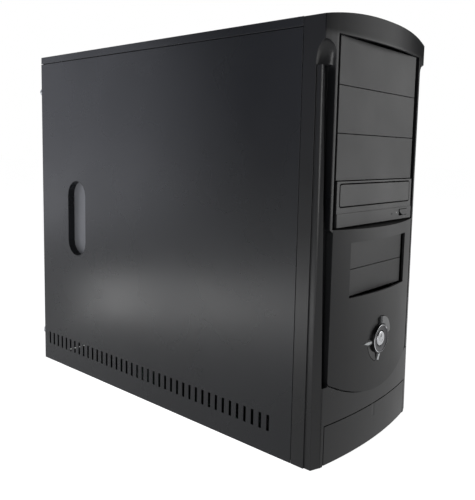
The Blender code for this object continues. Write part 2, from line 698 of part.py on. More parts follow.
def blade_outline(arc, grow=0.0):
    """A curved strip beside the power ring, as points of its outer and of its inner edge."""
    inner, outer = RING_RADIUS + BLADE_CLEAR - grow, BLADE_OUTER + grow
    first, last = math.radians(arc[0]) - grow / outer, math.radians(arc[1]) + grow / outer
    steps = 8
    turns = [first + (last - first) * i / steps for i in range(steps + 1)]
    return [[(radius * math.cos(a), BUTTON_HEIGHT + radius * math.sin(a)) for a in turns]
            for radius in (outer, inner)]


def blade_solid(name, edges, rises, back):
    """A curved strip with a sloping front.

    rises are its heights over the panel, outside and inside, at each end.
    """
    outer, inner = edges
    count = len(outer)
    shape = bmesh.new()

    def line(points, edge):
        verts = []
        for i, (x, z) in enumerate(points):
            rise = rises[0][edge] + (rises[1][edge] - rises[0][edge]) * i / (count - 1)
            verts.append(shape.verts.new((x, bow(x, PANEL_HALF, PANEL_EDGE, PANEL_FRONT) - rise, z)))
        return verts

    front = [line(outer, 0), line(inner, 1)]
    back = [[shape.verts.new((x, back, z)) for x, z in points] for points in (outer, inner)]
    for i in range(count - 1):
        for a, b in ((front[0], front[1]), (back[1], back[0]), (back[0], front[0]), (front[1], back[1])):
            shape.faces.new((a[i], b[i], b[i + 1], a[i + 1]))
    for i in (0, count - 1):
        shape.faces.new((front[0][i], front[1][i], back[1][i], back[0][i]))
    return from_bmesh(name, shape)


def blade_hole(name, arc):
    outer, inner = blade_outline(arc, BLADE_GAP)
    return prism(name, outer + inner[::-1], "Y", -FAR, FAR)


def blade_groove():
    """The crescent sunk into the panel on the fourth side of the ring."""
    sunk = ((-GROOVE_DEPTH, -GROOVE_DEPTH), (-GROOVE_DEPTH, -GROOVE_DEPTH))
    return blade_solid("blade_groove", blade_outline(GROOVE_ARC), sunk, -FAR)


def lamp_outlines():
    """The two slim lamps at the ends of the lower blade, seen from the front."""
    near = RING_RADIUS + LAMP_CLEAR
    left = [(-near - 13.9 * MM, -0.4 * MM), (-near - 7.3 * MM, 0.7 * MM), (-near, 0.3 * MM),
            (-near - 0.1 * MM, -1.9 * MM), (-near - 5.9 * MM, -2.6 * MM)]
    low = [(1.0 * MM, -near), (-2.2 * MM, -near - 0.1 * MM), (-4.8 * MM, -near - 5.4 * MM),
           (-1.6 * MM, -near - 6.4 * MM)]
    return [[(x, BUTTON_HEIGHT + z) for x, z in outline] for outline in (left, low)]


def lamp_seat(name, outline):
    """The lamp's hole: its outline moved outwards by the gap."""
    cx = sum(x for x, _ in outline) / len(outline)
    cz = sum(z for _, z in outline) / len(outline)
    grown = []
    for x, z in outline:
        reach = math.hypot(x - cx, z - cz)
        grown.append((x + (x - cx) / reach * BLADE_GAP, z + (z - cz) / reach * BLADE_GAP))
    return prism(name, grown, "Y", -FAR, FAR)


def lower_front_panel():
    """The convex centre panel with the 3.5 inch opening and the button cluster."""
    top = BAY_FLOOR - 0.3 * MM
    half = PANEL_HALF
    panel = prism("lower_front_panel", bow_outline(half, -PANEL_BACK, 0, PANEL_EDGE, PANEL_FRONT, PANEL_HALF),
                  "Z", PANEL_FOOT - 5 * MM, top + 5 * MM)
    keep_common(panel, prism("panel_shape", panel_elevation(half + 0.001 * MM, top), "Y", -FAR, FAR))
    inner = half - WALL
    hollow = prism("panel_hollow", bow_outline(inner, FAR, WALL, PANEL_EDGE, PANEL_FRONT, PANEL_HALF),
                   "Z", PANEL_FOOT - 5 * MM, top - WALL)
    keep_common(hollow, prism("panel_hollow_shape", panel_elevation(inner, top + FAR, -WALL, 2 * MM), "Y",
                              -FAR, 2 * FAR))
    cut(panel, hollow)
    ledge = prism("panel_ledge", [(-BAY_LEDGE, top), (-PANEL_FRONT, top - PANEL_SLOPE),
                                  (-FAR, top - PANEL_SLOPE),
                                  (-FAR, top + FAR), (-BAY_LEDGE, top + FAR)], "X", -half - FAR, half + FAR)
    opening = block("small_bay_opening", (-SMALL_HALF, SMALL_HALF), (-FAR, FAR),
                    (SMALL_FLOOR - 0.5 * MM, SMALL_TOP + 0.5 * MM))
    seat = rod("ring_seat", "Y", (0, BUTTON_HEIGHT), RING_RADIUS + 0.3 * MM, -FAR, -RING_SEAT + 0.3 * MM, 32)
    bore = rod("button_bore", "Y", (0, BUTTON_HEIGHT), RING_BORE, -FAR, FAR, 32)
    lamps = [lamp_seat("lamp_seat", outline) for outline in lamp_outlines()]
    cut(panel, ledge, opening, seat, bore, blade_hole("reset_slot", RESET_ARC),
        blade_hole("lower_blade_slot", LOWER_ARC))
    cut(panel, blade_groove(), *lamps)
    smooth(panel, 25)
    return finish(panel, BLACK_PLASTIC)


def bay_covers():
    half = COVER_WIDTH / 2
    for index in range(BAY_COUNT - 1):
        high = BAY_TOP - index * BAY_PITCH - COVER_SEAM / 2
        low = high - BAY_PITCH + COVER_SEAM
        face, back = -BAY_FACE, -BAY_FACE + COVER_THICK
        cover = block(f"bay_cover_{index + 1}", (-half, half), (face, back), (low, high))
        middle = (low + high) / 2
        arms = [block("arm", span(side, half - 3 * MM, half - 1 * MM), (back - 0.5 * MM, -4 * MM),
                      (middle - 12 * MM, middle + 12 * MM)) for side in (-1, 1)]
        unite(cover, joined(cover.name + "_arms", arms))
        finish(cover, BLACK_PLASTIC)


def small_bay_covers():
    half = SMALL_COVER_WIDTH / 2
    for index, label in enumerate(("upper", "lower")):
        high = SMALL_TOP - index * SMALL_BAY_PITCH - COVER_SEAM / 2
        low = high - SMALL_BAY_PITCH + COVER_SEAM
        face, back = -SMALL_BAY_FACE, -SMALL_BAY_FACE + COVER_THICK
        cover = block("small_bay_cover_" + label, (-half, half), (face, back), (low, high))
        middle = (low + high) / 2
        arms = [block("arm", span(side, half - 3 * MM, half - 1 * MM), (back - 0.5 * MM, -4 * MM),
                      (middle - 7 * MM, middle + 7 * MM)) for side in (-1, 1)]
        unite(cover, joined(cover.name + "_arms", arms))
        finish(cover, BLACK_PLASTIC)


# ---------------------------------------------------------------- buttons and front ports


def power_ring():
    """A dished metal ring with a raised rim, seated in the lower panel."""
    front, seat = -PANEL_FRONT - RING_PROUD, -RING_SEAT
    dish = front + RING_DISH
    profile = [(RING_RADIUS, seat), (RING_RADIUS, front + 0.5 * MM), (RING_RADIUS - 0.5 * MM, front),
               (RING_RADIUS - RING_RIM, front), (RING_RADIUS - RING_RIM - 0.3 * MM, front + 0.5 * MM),
               (RING_BORE + 1.0 * MM, dish), (RING_BORE, dish), (RING_BORE, seat)]
    steps = 40
    shape = bmesh.new()
    rings = []
    for i in range(steps):
        turn = 2 * math.pi * i / steps
        rings.append([shape.verts.new((r * math.cos(turn), y, BUTTON_HEIGHT + r * math.sin(turn)))
                      for r, y in profile])
    for i in range(steps):
        here, there = rings[i], rings[(i + 1) % steps]
        for k in range(len(profile)):
            n = (k + 1) % len(profile)
            shape.faces.new((here[k], here[n], there[n], there[k]))
    ring = from_bmesh("power_ring", shape)
    smooth(ring, 30)
    return finish(ring, SILVER)


def power_button():
    front = -PANEL_FRONT - RING_PROUD + 0.4 * MM
    radius = RING_BORE - BUTTON_GAP
    levels = ((front, radius - 1.2 * MM), (front + 0.5 * MM, radius - 0.3 * MM), (front + 1.2 * MM, radius),
              (-28 * MM, radius), (-28 * MM, 3 * MM), (-26.5 * MM, 3 * MM))
    rings = [[(x, y, z) for x, z in circle(r, 32, (0, BUTTON_HEIGHT))] for y, r in levels]
    button = solid("power_button", rings)
    smooth(button)
    return finish(pivot(button, (0, front, BUTTON_HEIGHT)), SILVER)


def blade(name, arc, rises, look):
    piece = blade_solid(name, blade_outline(arc), rises, -LAMP_BACK)
    smooth(piece, 30)
    x, z = blade_outline(arc)[0][4]
    return finish(pivot(piece, (x, -PANEL_FRONT, z)), look)


def lamps():
    """Two clear light pipes, one at each end of the lower blade."""
    for name, outline in zip(("power_lamp", "disk_lamp"), lamp_outlines()):
        front = [(x, bow(x, PANEL_HALF, PANEL_EDGE, PANEL_FRONT) - LAMP_PROUD, z) for x, z in outline]
        back = [(x, -LAMP_BACK, z) for x, z in outline]
        finish(solid(name, [front, back]), LAMP)


def button_board():
    """The circuit board behind the buttons, with a push switch under the power button."""
    board = block("button_board", (-26 * MM, 26 * MM), (-23.6 * MM, -22 * MM),
                  (BUTTON_HEIGHT - 24 * MM, BUTTON_HEIGHT + 24 * MM))
    switch = block("button_switch", (-6 * MM, 6 * MM), (-24.3 * MM, -22.8 * MM),
                   (BUTTON_HEIGHT - 6 * MM, BUTTON_HEIGHT + 6 * MM))
    return finish(unite(board, switch), GREEN_BOARD)


def port_door():
    """A bowed flap with a thumb notch, turning down on two stub pins."""
    half = DOOR_HALF
    outer = bow_outline(half, 0)[1:-1]
    inner = [(x, y + DOOR_THICK) for x, y in reversed(outer)]
    door = prism("port_door", outer + inner, "Z", DOOR_BOTTOM, DOOR_TOP)
    ears = [block("ear", span(side, half - 3 * MM, half - 0.2 * MM),
                  (bow(half, HALF, CORNER_DEPTH, CORNER_DEPTH + FRONT_BOW) + 1 * MM, DOOR_AXIS[0] + 3 * MM),
                  (DOOR_AXIS[1] - 3.5 * MM, DOOR_AXIS[1] + 3.5 * MM)) for side in (-1, 1)]
    pins = both_sides("door_pins", lambda side: rod(
        "pin", "X", DOOR_AXIS, DOOR_PIN, *span(side, half - 1.5 * MM, half + 2.2 * MM), 12))
    unite(door, joined("door_ears", ears), pins)
    wide, deep, tall = NOTCH
    round_ = (wide * wide / 4 + deep * deep) / (2 * deep)
    notch = rod("door_notch", "Z", (0, -(CORNER_DEPTH + FRONT_BOW) + deep - round_), round_,
                DOOR_TOP - tall, DOOR_TOP + FAR, 64)
    cut(door, notch)
    smooth(door, 25)
    return finish(pivot(door, (0, *DOOR_AXIS)), BLACK_PLASTIC)


def port_module():
    """Two USB sockets and two sound jacks on one small board behind the door."""
    z = 29 * MM
    board = block("port_module", (-PORT_HALF + 1 * MM, PORT_HALF - 1 * MM), (-4.6 * MM, -3 * MM),
                  (z - 11 * MM, z + 11 * MM))
    sockets = [block("usb", (x - 7 * MM, x + 7 * MM), (-10 * MM, -4 * MM), (z - 3.3 * MM, z + 3.3 * MM))
               for x in (-22 * MM, -4 * MM)]
    sockets += [rod("jack", "Y", (x, z), 4.2 * MM, -10 * MM, -4 * MM, 20) for x in (14 * MM, 25 * MM)]
    unite(board, joined("port_sockets", sockets))
    holes = [block("usb_hole", (x - 6.2 * MM, x + 6.2 * MM), (-FAR, -5.2 * MM), (z - 2.5 * MM, z + 2.5 * MM))
             for x in (-22 * MM, -4 * MM)]
    holes += [rod("jack_hole", "Y", (x, z), 1.8 * MM, -FAR, -5.2 * MM, 12) for x in (14 * MM, 25 * MM)]
    tongues = [block("usb_tongue", (x - 5 * MM, x + 5 * MM), (-9.5 * MM, -4.5 * MM),
                     (z + 0.1 * MM, z + 1.5 * MM))
               for x in (-22 * MM, -4 * MM)]
    cut(board, joined("port_holes", holes))
    unite(board, joined("usb_tongues", tongues))
    return finish(board, GLOSS_PLASTIC)


# ---------------------------------------------------------------- optical drive

DRIVE_FLOOR = BAY_FLOOR + 1 * MM
DRIVE_FACE = 26 * MM
TRAY_TALL = 20.2 * MM
TRAY_BELOW_TOP = 3.2 * MM               # tray window's top below the bay's
TRAY_GAP = 1.0 * MM
TRAY_WINDOW = (BAY_PITCH - TRAY_BELOW_TOP - TRAY_TALL, BAY_PITCH - TRAY_BELOW_TOP)   # above the bay's floor
TRAY_HALF = 69 * MM
TRAY_CORNER = 2.2 * MM
TRAY_DEPTH = 158 * MM
EJECT = (55.5 * MM, 7.3 * MM, 8.5 * MM, 3.2 * MM)   # x, height in the bay, half width, half height


def drive_body():
    half = DRIVE_WIDTH / 2
    body = block("drive_body", (-half, half), (FRONT_WALL + SHEET, DRIVE_LENGTH),
                 (DRIVE_FLOOR + 0.4 * MM, BAY_FLOOR + BAY_PITCH - 1.3 * MM))
    tunnel = block("drive_tunnel", (-TRAY_HALF + 2 * MM, TRAY_HALF - 2 * MM), (-FAR, DRIVE_LENGTH - 2 * MM),
                   (BAY_FLOOR + TRAY_WINDOW[0] + 1 * MM, BAY_FLOOR + TRAY_WINDOW[1]))
    lower = block("drive_works", (-half + 3 * MM, half - 3 * MM), (-FAR, DRIVE_LENGTH - 4 * MM),
                  (BAY_FLOOR + 4 * MM, BAY_FLOOR + TRAY_WINDOW[0] - 2 * MM))
    return finish(cut(body, tunnel, lower), ZINC)


def drive_face():
    """The drive's front frame, with the tray's window, a proud strip and the button's hole."""
    half = COVER_WIDTH / 2 - 0.2 * MM
    low, high = BAY_FLOOR + 0.4 * MM, BAY_FLOOR + BAY_PITCH - COVER_SEAM
    face = block("drive_face", (-half, half), (-DRIVE_FACE, -3 * MM), (low, high))
    strip = block("drive_strip", (-half + 0.01 * MM, half - 0.01 * MM),
                  (-DRIVE_FACE - 0.8 * MM, -DRIVE_FACE + 1 * MM),
                  (low + 0.01 * MM, BAY_FLOOR + 12.6 * MM))
    unite(face, strip)
    window = tray_front("tray_window", TRAY_GAP, (-FAR, FAR))
    back = block("face_hollow", (-half + WALL, half - WALL), (-DRIVE_FACE + WALL, FAR),
                 (BAY_FLOOR + WALL, BAY_FLOOR + TRAY_WINDOW[0] - 2 * MM))
    x, z, wide, tall = EJECT
    button = block("eject_hole", (x - wide - 0.3 * MM, x + wide + 0.3 * MM), (-FAR, FAR),
                   (BAY_FLOOR + z - tall - 0.3 * MM, BAY_FLOOR + z + tall + 0.3 * MM))
    pin = rod("eject_pin_hole", "Y", (31 * MM, BAY_FLOOR + 6.5 * MM), 0.8 * MM, -FAR, FAR, 8)
    return finish(cut(face, window, back, button, pin), BLACK_PLASTIC)


def tray_front(name, grow, y):
    """The rounded rectangle of the tray door, moved outwards by grow."""
    half, low, high = TRAY_HALF + grow, BAY_FLOOR + TRAY_WINDOW[0] - grow, BAY_FLOOR + TRAY_WINDOW[1] + grow
    radius = TRAY_CORNER + grow
    outline = []
    for cx, cz, start in ((half, high, 0), (-half, high, 90), (-half, low, 180), (half, low, 270)):
        centre = (cx - math.copysign(radius, cx), high - radius if cz == high else low + radius)
        for step in range(5):
            a = math.radians(start + 22.5 * step)
            outline.append((centre[0] + radius * math.cos(a), centre[1] + radius * math.sin(a)))
    return prism(name, outline, "Y", *y)


def disc_tray():
    """The sliding tray with its door at the front and a dished seat for the disc."""
    half = TRAY_HALF - 4 * MM
    low = BAY_FLOOR + TRAY_WINDOW[0] + 4 * MM
    tray = block("disc_tray", (-half, half), (-DRIVE_FACE + 2 * MM, TRAY_DEPTH - DRIVE_FACE),
                 (low, low + 6 * MM))
    door = tray_front("tray_door", 0, (-DRIVE_FACE - 0.3 * MM, -DRIVE_FACE + 3 * MM))
    unite(tray, door)
    centre = (0, -DRIVE_FACE + 78 * MM)
    seat = rod("disc_seat", "Z", centre, 60.5 * MM, low + 3 * MM, low + FAR, 48)
    small = rod("small_disc_seat", "Z", centre, 40.5 * MM, low + 2 * MM, low + FAR, 36)
    spindle = rod("spindle_hole", "Z", centre, 17 * MM, low - FAR, low + FAR, 24)
    lens_way = block("lens_way", (-14 * MM, 14 * MM), (centre[1] + 5 * MM, centre[1] + 56 * MM),
                     (low - FAR, low + FAR))
    cut(tray, seat, small, spindle, lens_way)
    return finish(pivot(tray, (0, -DRIVE_FACE, low)), BLACK_PLASTIC)


def eject_button():
    x, z, wide, tall = EJECT
    middle = BAY_FLOOR + z
    outline = [(x - wide, middle + tall), (x - wide, middle + 0.3 * tall),
               (x - 0.55 * wide, middle - 0.6 * tall),
               (x - 0.1 * wide, middle - tall), (x + 0.6 * wide, middle - tall), (x + wide,
                                        middle - 0.5 * tall),
               (x + wide, middle + tall)]
    button = prism("eject_button", outline, "Y", -DRIVE_FACE - 1.6 * MM, -DRIVE_FACE + 6 * MM)
    return finish(pivot(button, (x, -DRIVE_FACE, middle)), BLACK_PLASTIC)


# ---------------------------------------------------------------- power supply and fans


def rotor(name, centre, y, radius, hub, depth, blades, look):
    """A hub with pitched blades, turning about a line along Y."""
    body = rod(name, "Y", centre, hub, y, y + depth, 20)
    vanes = []
    for i in range(blades):
        turn = 2 * math.pi * i / blades
        vane = block("vane", (hub * 0.8, radius), (-0.8 * MM, 0.8 * MM), (-depth * 0.55, depth * 0.55))
        vane.data.transform(Matrix.Rotation(math.radians(38), 4, "X") @ Matrix.Rotation(math.radians(90), 4,
                                        "X"))
        vane.data.transform(Matrix.Rotation(turn, 4, "Y"))
        vane.data.transform(Matrix.Translation((centre[0], y + depth / 2, centre[1])))
        vanes.append(vane)
    unite(body, joined(name + "_vanes", vanes))
    return finish(pivot(body, (centre[0], y, centre[1])), look)


def fan_frame():
    """An 80 mm fan's square frame, with a motor plate held on four arms."""
    half, depth = FAN_SIZE[0] / 2, FAN_SIZE[1]
    rear = REAR_INNER - FIT
    y = (rear - depth, rear)
    frame = block("exhaust_fan_frame", (FAN_X - half, FAN_X + half), y, (FAN_Z - half, FAN_Z + half))
    cut(frame, rod("fan_bore", "Y", (FAN_X, FAN_Z), half - 2 * MM, y[0] - FAR, y[1] + FAR, 40))
    arms = [block("fan_arm_across", (FAN_X - half + 1 * MM, FAN_X + half - 1 * MM), (y[0], y[0] + 3 * MM),
                  (FAN_Z - 1.5 * MM, FAN_Z + 1.5 * MM)),
            block("fan_arm_up", (FAN_X - 1.5 * MM, FAN_X + 1.5 * MM), (y[0] + 0.1 * MM, y[0] + 2.9 * MM),
                  (FAN_Z - half + 1 * MM, FAN_Z + half - 1 * MM)),
            rod("fan_plate", "Y", (FAN_X, FAN_Z), 15 * MM, y[0] + 0.05 * MM, y[0] + 2.95 * MM, 20)]
    unite(frame, *arms)
    return finish(frame, BLACK_PLASTIC)


INLET = (-50 * MM, 20 * MM)      # x, and height above the middle of the supply
SWITCH = (-50 * MM, -14 * MM)


def psu_case():
    """A sheet box with a fan opening, an inlet opening and a switch opening in its rear face."""
    wide, long, tall = PSU_SIZE
    rear = REAR_INNER - FIT
    case = block("psu_case", (-wide / 2, wide / 2), (rear - long, rear), (PSU_FLOOR, PSU_TOP))
    hollow = block("psu_hollow", (-wide / 2 + SHEET, wide / 2 - SHEET), (rear - long + SHEET, rear - SHEET),
                   (PSU_FLOOR + SHEET, PSU_TOP - SHEET))
    y = (rear - 3 * SHEET, rear + FAR)
    middle = PSU_FLOOR + tall / 2
    openings = [
        rod("psu_fan_hole", "Y", PSU_FAN, 37 * MM, *y, 40),
        block("inlet_hole", (INLET[0] - 14.3 * MM, INLET[0] + 14.3 * MM), y,
              (middle + INLET[1] - 10.3 * MM, middle + INLET[1] + 10.3 * MM)),
        block("switch_hole", (SWITCH[0] - 10.3 * MM, SWITCH[0] + 10.3 * MM), y,
              (middle + SWITCH[1] - 7 * MM, middle + SWITCH[1] + 7 * MM)),
    ]
    vents = [block("psu_vent", (-wide / 2 + 12 * MM + i * 14 * MM, -wide / 2 + 18 * MM + i * 14 * MM),
                   (rear - long - FAR, rear - long + 3 * SHEET), (PSU_FLOOR + 14 * MM, PSU_TOP - 14 * MM))
             for i in range(9)]
    return finish(cut(case, hollow, joined("psu_openings", openings), joined("psu_vents", vents)), ZINC)


def psu_grille():
    """A finger guard of flat rings on two cross bars, over the power supply's fan."""
    y = (REAR_INNER + 0.0001, REAR_INNER + 0.0013)
    rings = []
    for radius in (36 * MM, 27 * MM, 18 * MM, 9 * MM):
        outer, inner = circle(radius + 0.8 * MM, 28, PSU_FAN), circle(radius - 0.8 * MM, 28, PSU_FAN)
        shape = bmesh.new()
        corners = [[shape.verts.new((x, depth, z)) for x, z in line]
                   for line, depth in ((outer, y[0]), (outer, y[1]), (inner, y[1]), (inner, y[0]))]
        for a, b in zip(corners, corners[1:] + corners[:1]):
            for i in range(28):
                j = (i + 1) % 28
                shape.faces.new((a[i], a[j], b[j], b[i]))
        rings.append(from_bmesh("guard_ring", shape))
    reach = 37.5 * MM
    bar = block("psu_grille", (PSU_FAN[0] - reach, PSU_FAN[0] + reach), (y[0] + 0.0002, y[1] - 0.0002),
                (PSU_FAN[1] - 0.9 * MM, PSU_FAN[1] + 0.9 * MM))
    upright = block("guard_bar", (PSU_FAN[0] - 0.9 * MM, PSU_FAN[0] + 0.9 * MM),
                    (y[0] + 0.0003, y[1] - 0.0003),
                    (PSU_FAN[1] - reach, PSU_FAN[1] + reach))
    unite(bar, upright, joined("guard_rings", rings))
    return finish(bar, ZINC)


def mains_inlet():
    """A three-pin appliance inlet: a flanged housing with a recess and three blades standing in it."""
    middle = PSU_FLOOR + PSU_SIZE[2] / 2 + INLET[1]
    x = INLET[0]
    rear = REAR_INNER
    housing = block("mains_inlet", (x - 14 * MM, x + 14 * MM), (rear - 22 * MM, rear + 1.6 * MM),
                    (middle - 10 * MM, middle + 10 * MM))
    recess_outline = [(x - 12 * MM, middle - 8 * MM), (x + 12 * MM, middle - 8 * MM),
                      (x + 12 * MM, middle + 3 * MM), (x + 7 * MM, middle + 8 * MM),
                      (x - 7 * MM, middle + 8 * MM), (x - 12 * MM, middle + 3 * MM)]
    recess = prism("inlet_recess", recess_outline, "Y", rear - 15 * MM, rear + FAR)
    blades = [block("blade", (x + dx - 1 * MM, x + dx + 1 * MM), (rear - 16 * MM, rear - 3 * MM),
                    (middle + dz - 2 * MM, middle + dz + 2 * MM))
              for dx, dz in ((-7 * MM, -3 * MM), (0, 2 * MM), (7 * MM, -3 * MM))]
    cut(housing, recess)
    unite(housing, joined("inlet_blades", blades))
    return finish(housing, BLACK_PLASTIC)


ROCKER_TILT = 8


def psu_switch():
    """A rocker in the supply's rear face, resting on its off side."""
    x, z = SWITCH[0], PSU_FLOOR + PSU_SIZE[2] / 2 + SWITCH[1]
    rear = REAR_INNER
    outline = [(-9 * MM, -5 * MM), (9 * MM, -5 * MM), (9 * MM, 1.6 * MM), (0, 0.2 * MM), (-9 * MM, 1.6 * MM)]
    rocker = prism("psu_switch", outline, "Z", -6.3 * MM, 6.3 * MM)
    rocker.data.transform(Matrix.Rotation(math.radians(-ROCKER_TILT), 4, "Z"))
    rocker.location = (x, rear - 2 * MM, z)
    return finish(rocker, GLOSS_PLASTIC)


# ---------------------------------------------------------------- board and cards


def motherboard():
    y = (BOARD_REAR - BOARD_SIZE[0], BOARD_REAR)
    low = BOARD_TOP - BOARD_SIZE[1]
    board = block("motherboard", (FACE_X, BOARD_X), y, (low, BOARD_TOP))
    sockets = []
    for index in range(6):
        z = slot_z(index) - 5 * MM
        sockets.append(block("card_socket", (FACE_X - 11 * MM, FACE_X + 0.5 * MM),
                             (BOARD_REAR - 150 * MM, BOARD_REAR - 60 * MM), (z - 4 * MM, z + 4 * MM)))
    sockets.append(block("processor_socket", (FACE_X - 6 * MM, FACE_X + 0.5 * MM),
                         (CPU_Y - 20 * MM, CPU_Y + 20 * MM), (CPU_Z - 20 * MM, CPU_Z + 20 * MM)))
    unite(board, joined("board_sockets", sockets))
    return finish(board, GREEN_BOARD)


CPU_Y = BOARD_REAR - 95 * MM
CPU_Z = BOARD_TOP - 62 * MM


def heatsink():
    """A finned block over the processor, with room for the fan in front of it."""
    x = (FACE_X - 44 * MM, FACE_X - 6.4 * MM)
    half = 36 * MM
    block_ = block("cpu_heatsink", x, (CPU_Y - half, CPU_Y + half), (CPU_Z - half, CPU_Z + half))
    gaps = [block("fin_gap", (x[0] - FAR, x[1] - 6 * MM),
                  (CPU_Y - half + 4 * MM + i * 8 * MM, CPU_Y - half + 8 * MM + i * 8 * MM),
                  (CPU_Z - FAR, CPU_Z + FAR)) for i in range(8)]
    return finish(cut(block_, joined("fin_gaps", gaps)), SILVER)


def cpu_fan():
    """The processor fan turns about a line along X, just clear of the fins."""
    hub, radius, depth = 13 * MM, 32 * MM, 9 * MM
    x = FACE_X - 44 * MM - 1 * MM - depth
    body = rod("cpu_fan_rotor", "X", (CPU_Y, CPU_Z), hub, x, x + depth, 20)
    vanes = []
    for i in range(7):
        vane = block("vane", (-depth * 0.5, depth * 0.5), (hub * 0.8, radius), (-0.8 * MM, 0.8 * MM))
        vane.data.transform(Matrix.Rotation(math.radians(40), 4, "Y"))
        vane.data.transform(Matrix.Rotation(2 * math.pi * i / 7, 4, "X"))
        vane.data.transform(Matrix.Translation((x + depth / 2, CPU_Y, CPU_Z)))
        vanes.append(vane)
    unite(body, joined("cpu_vanes", vanes))
    return finish(pivot(body, (x, CPU_Y, CPU_Z)), BLACK_PLASTIC)


def memory_module():
    y = BOARD_REAR - 176 * MM
    module = block("memory_module", (FACE_X - 30 * MM, FACE_X - 0.3 * MM), (y - 2 * MM, y + 2 * MM),
                   (BOARD_TOP - 148 * MM, BOARD_TOP - 15 * MM))
    finish(module, GREEN_BOARD)


def rear_ports():
    """The stack of sockets at the board's rear edge, reaching through the shield."""
    x = (FACE_X - 34 * MM, FACE_X - 0.3 * MM)
    y = (BOARD_REAR - 16 * MM, REAR_INNER + 0.3 * MM)
    low = BOARD_TOP - SHIELD_SIZE[1] + 8 * MM
    ports = block("rear_ports", x, y, (low, BOARD_TOP - 8 * MM))
    holes = []
    for index in range(4):
        z = low + 8 * MM + index * 34 * MM
        for step in (0, 17 * MM):
            holes.append(block("port", (x[0] + 2 * MM + step, x[0] + 15.4 * MM + step),
                               (y[0] + 3 * MM, FAR * 10),
                               (z, z + 12 * MM)))
    return finish(cut(ports, joined("rear_port_holes", holes)), SILVER)


def port_shield():
    wide, tall = SHIELD_SIZE
    x = (FACE_X + 2 * MM - wide + FIT, FACE_X + 2 * MM - FIT)
    shield = block("port_shield", x, (REAR_INNER + 0.1 * MM, REAR_WALL - 0.1 * MM),
                   (BOARD_TOP - tall + FIT, BOARD_TOP - FIT))
    window = block("shield_cut", (FACE_X - 34.4 * MM, FACE_X + 0.1 * MM), (REAR_INNER - FAR, REAR_WALL + FAR),
                   (BOARD_TOP - tall + 7.6 * MM, BOARD_TOP - 7.6 * MM))
    return finish(cut(shield, window), ZINC)


def graphics_card():
    """The card in the second slot: a board, a cooler block and its rear bracket."""
    z = slot_z(1) - 5 * MM
    card = block("graphics_card", (FACE_X - 105 * MM, FACE_X - 11.6 * MM),
                 (BOARD_REAR - 165 * MM, REAR_INNER - 2 * MM),
                 (z - 0.8 * MM, z + 0.8 * MM))
    cooler = block("card_cooler", (FACE_X - 85 * MM, FACE_X - 22 * MM),
                   (BOARD_REAR - 120 * MM, BOARD_REAR - 50 * MM),
                   (z - 12 * MM, z + 0.5 * MM))
    bracket = block("card_bracket", (SLOT_X[0], SLOT_X[1] - 12 * MM),
                    (REAR_INNER - 2.5 * MM, REAR_INNER - 0.4 * MM),
                    (z - 9 * MM, z + 9 * MM))
    unite(card, cooler, bracket)
    return finish(card, GREEN_BOARD)


def slot_covers():
    for index in (0, 2, 3, 4, 5, 6):
        z = slot_z(index) - 5 * MM
        cover = block(f"slot_cover_{index + 1}", (SLOT_X[0], SLOT_X[1] - 12 * MM),
                      (REAR_INNER - 1.4 * MM, REAR_INNER - 0.4 * MM), (z - 9 * MM, z + 9 * MM))
        finish(cover, ZINC)


def hard_disk():
    wide, long, tall = DISK_SIZE
    low = 104 * MM
    disk = block("hard_disk", (-wide / 2, wide / 2),
                 (FRONT_WALL + SHEET + 4 * MM, FRONT_WALL + SHEET + 4 * MM + long),
                 (low, low + tall))
    step = block("disk_step", (-wide / 2 - FAR, wide / 2 + FAR), (-FAR, 14 * MM),
                 (low + tall - 6 * MM, low + FAR))
    return finish(cut(disk, step), SILVER)


def cable(name, points, radius, look):
    """A round cable along a smooth curve through its points."""
    line = bpy.data.curves.new(name, "CURVE")
    line.dimensions = "3D"
    line.bevel_depth = radius
    line.bevel_resolution = 2
    line.use_fill_caps = True
    spline = line.splines.new("POLY")
    path = smooth_path(points, 5)
    spline.points.add(len(path) - 1)
    for point, place in zip(spline.points, path):
        point.co = (*place, 1)
    obj = bpy.data.objects.new(name, line)
    obj.parent = CASE
    bpy.context.scene.collection.objects.link(obj)
    return finish(obj, look)


def smooth_path(points, steps):
    """Points read from a Catmull-Rom curve through the given ones."""
    ends = [2 * Vector(points[0]) - Vector(points[1])] + [Vector(p) for p in points]
    ends.append(2 * Vector(points[-1]) - Vector(points[-2]))
    path = []
    for a, b, c, d in zip(ends, ends[1:], ends[2:], ends[3:]):
        for i in range(steps):
            t = i / steps
            path.append(0.5 * (2 * b + (c - a) * t + (2 * a - 5 * b + 4 * c - d) * t ** 2
                               + (3 * b - a - 3 * c + d) * t ** 3))
    return path + [ends[-2]]


def cables():
    psu_front = REAR_INNER - FIT - PSU_SIZE[1]
    x, z = -40 * MM, PSU_FLOOR + 30 * MM
    board = (FACE_X - 12 * MM, BOARD_REAR - BOARD_SIZE[0] + 14 * MM, BOARD_TOP - 60 * MM)
    cable("board_power_cable", [
        (x, psu_front - 1 * MM, z), (x, psu_front - 20 * MM, z - 4 * MM), (x + 10 * MM, psu_front - 40 * MM,
                                                                           z - 40 * MM),
        (20 * MM, psu_front - 60 * MM, board[2] - 14 * MM), (board[0] - 20 * MM, board[1] + 4 * MM, board[2]),
        board], 3.5 * MM, CABLE)
    drive = (-50 * MM, DRIVE_LENGTH + 1 * MM, DRIVE_FLOOR + 10 * MM)
    cable("drive_data_cable", [
        drive, (-50 * MM, DRIVE_LENGTH + 16 * MM, drive[2] - 4 * MM), (-40 * MM, DRIVE_LENGTH + 24 * MM,
                                                                       drive[2] - 60 * MM),
        (10 * MM, DRIVE_LENGTH + 30 * MM, drive[2] - 130 * MM), (FACE_X - 20 * MM, BOARD_REAR - 230 * MM,
                                                                 70 * MM),
        (FACE_X - 4 * MM, BOARD_REAR - 226 * MM, 62 * MM)], 2.5 * MM, CABLE)


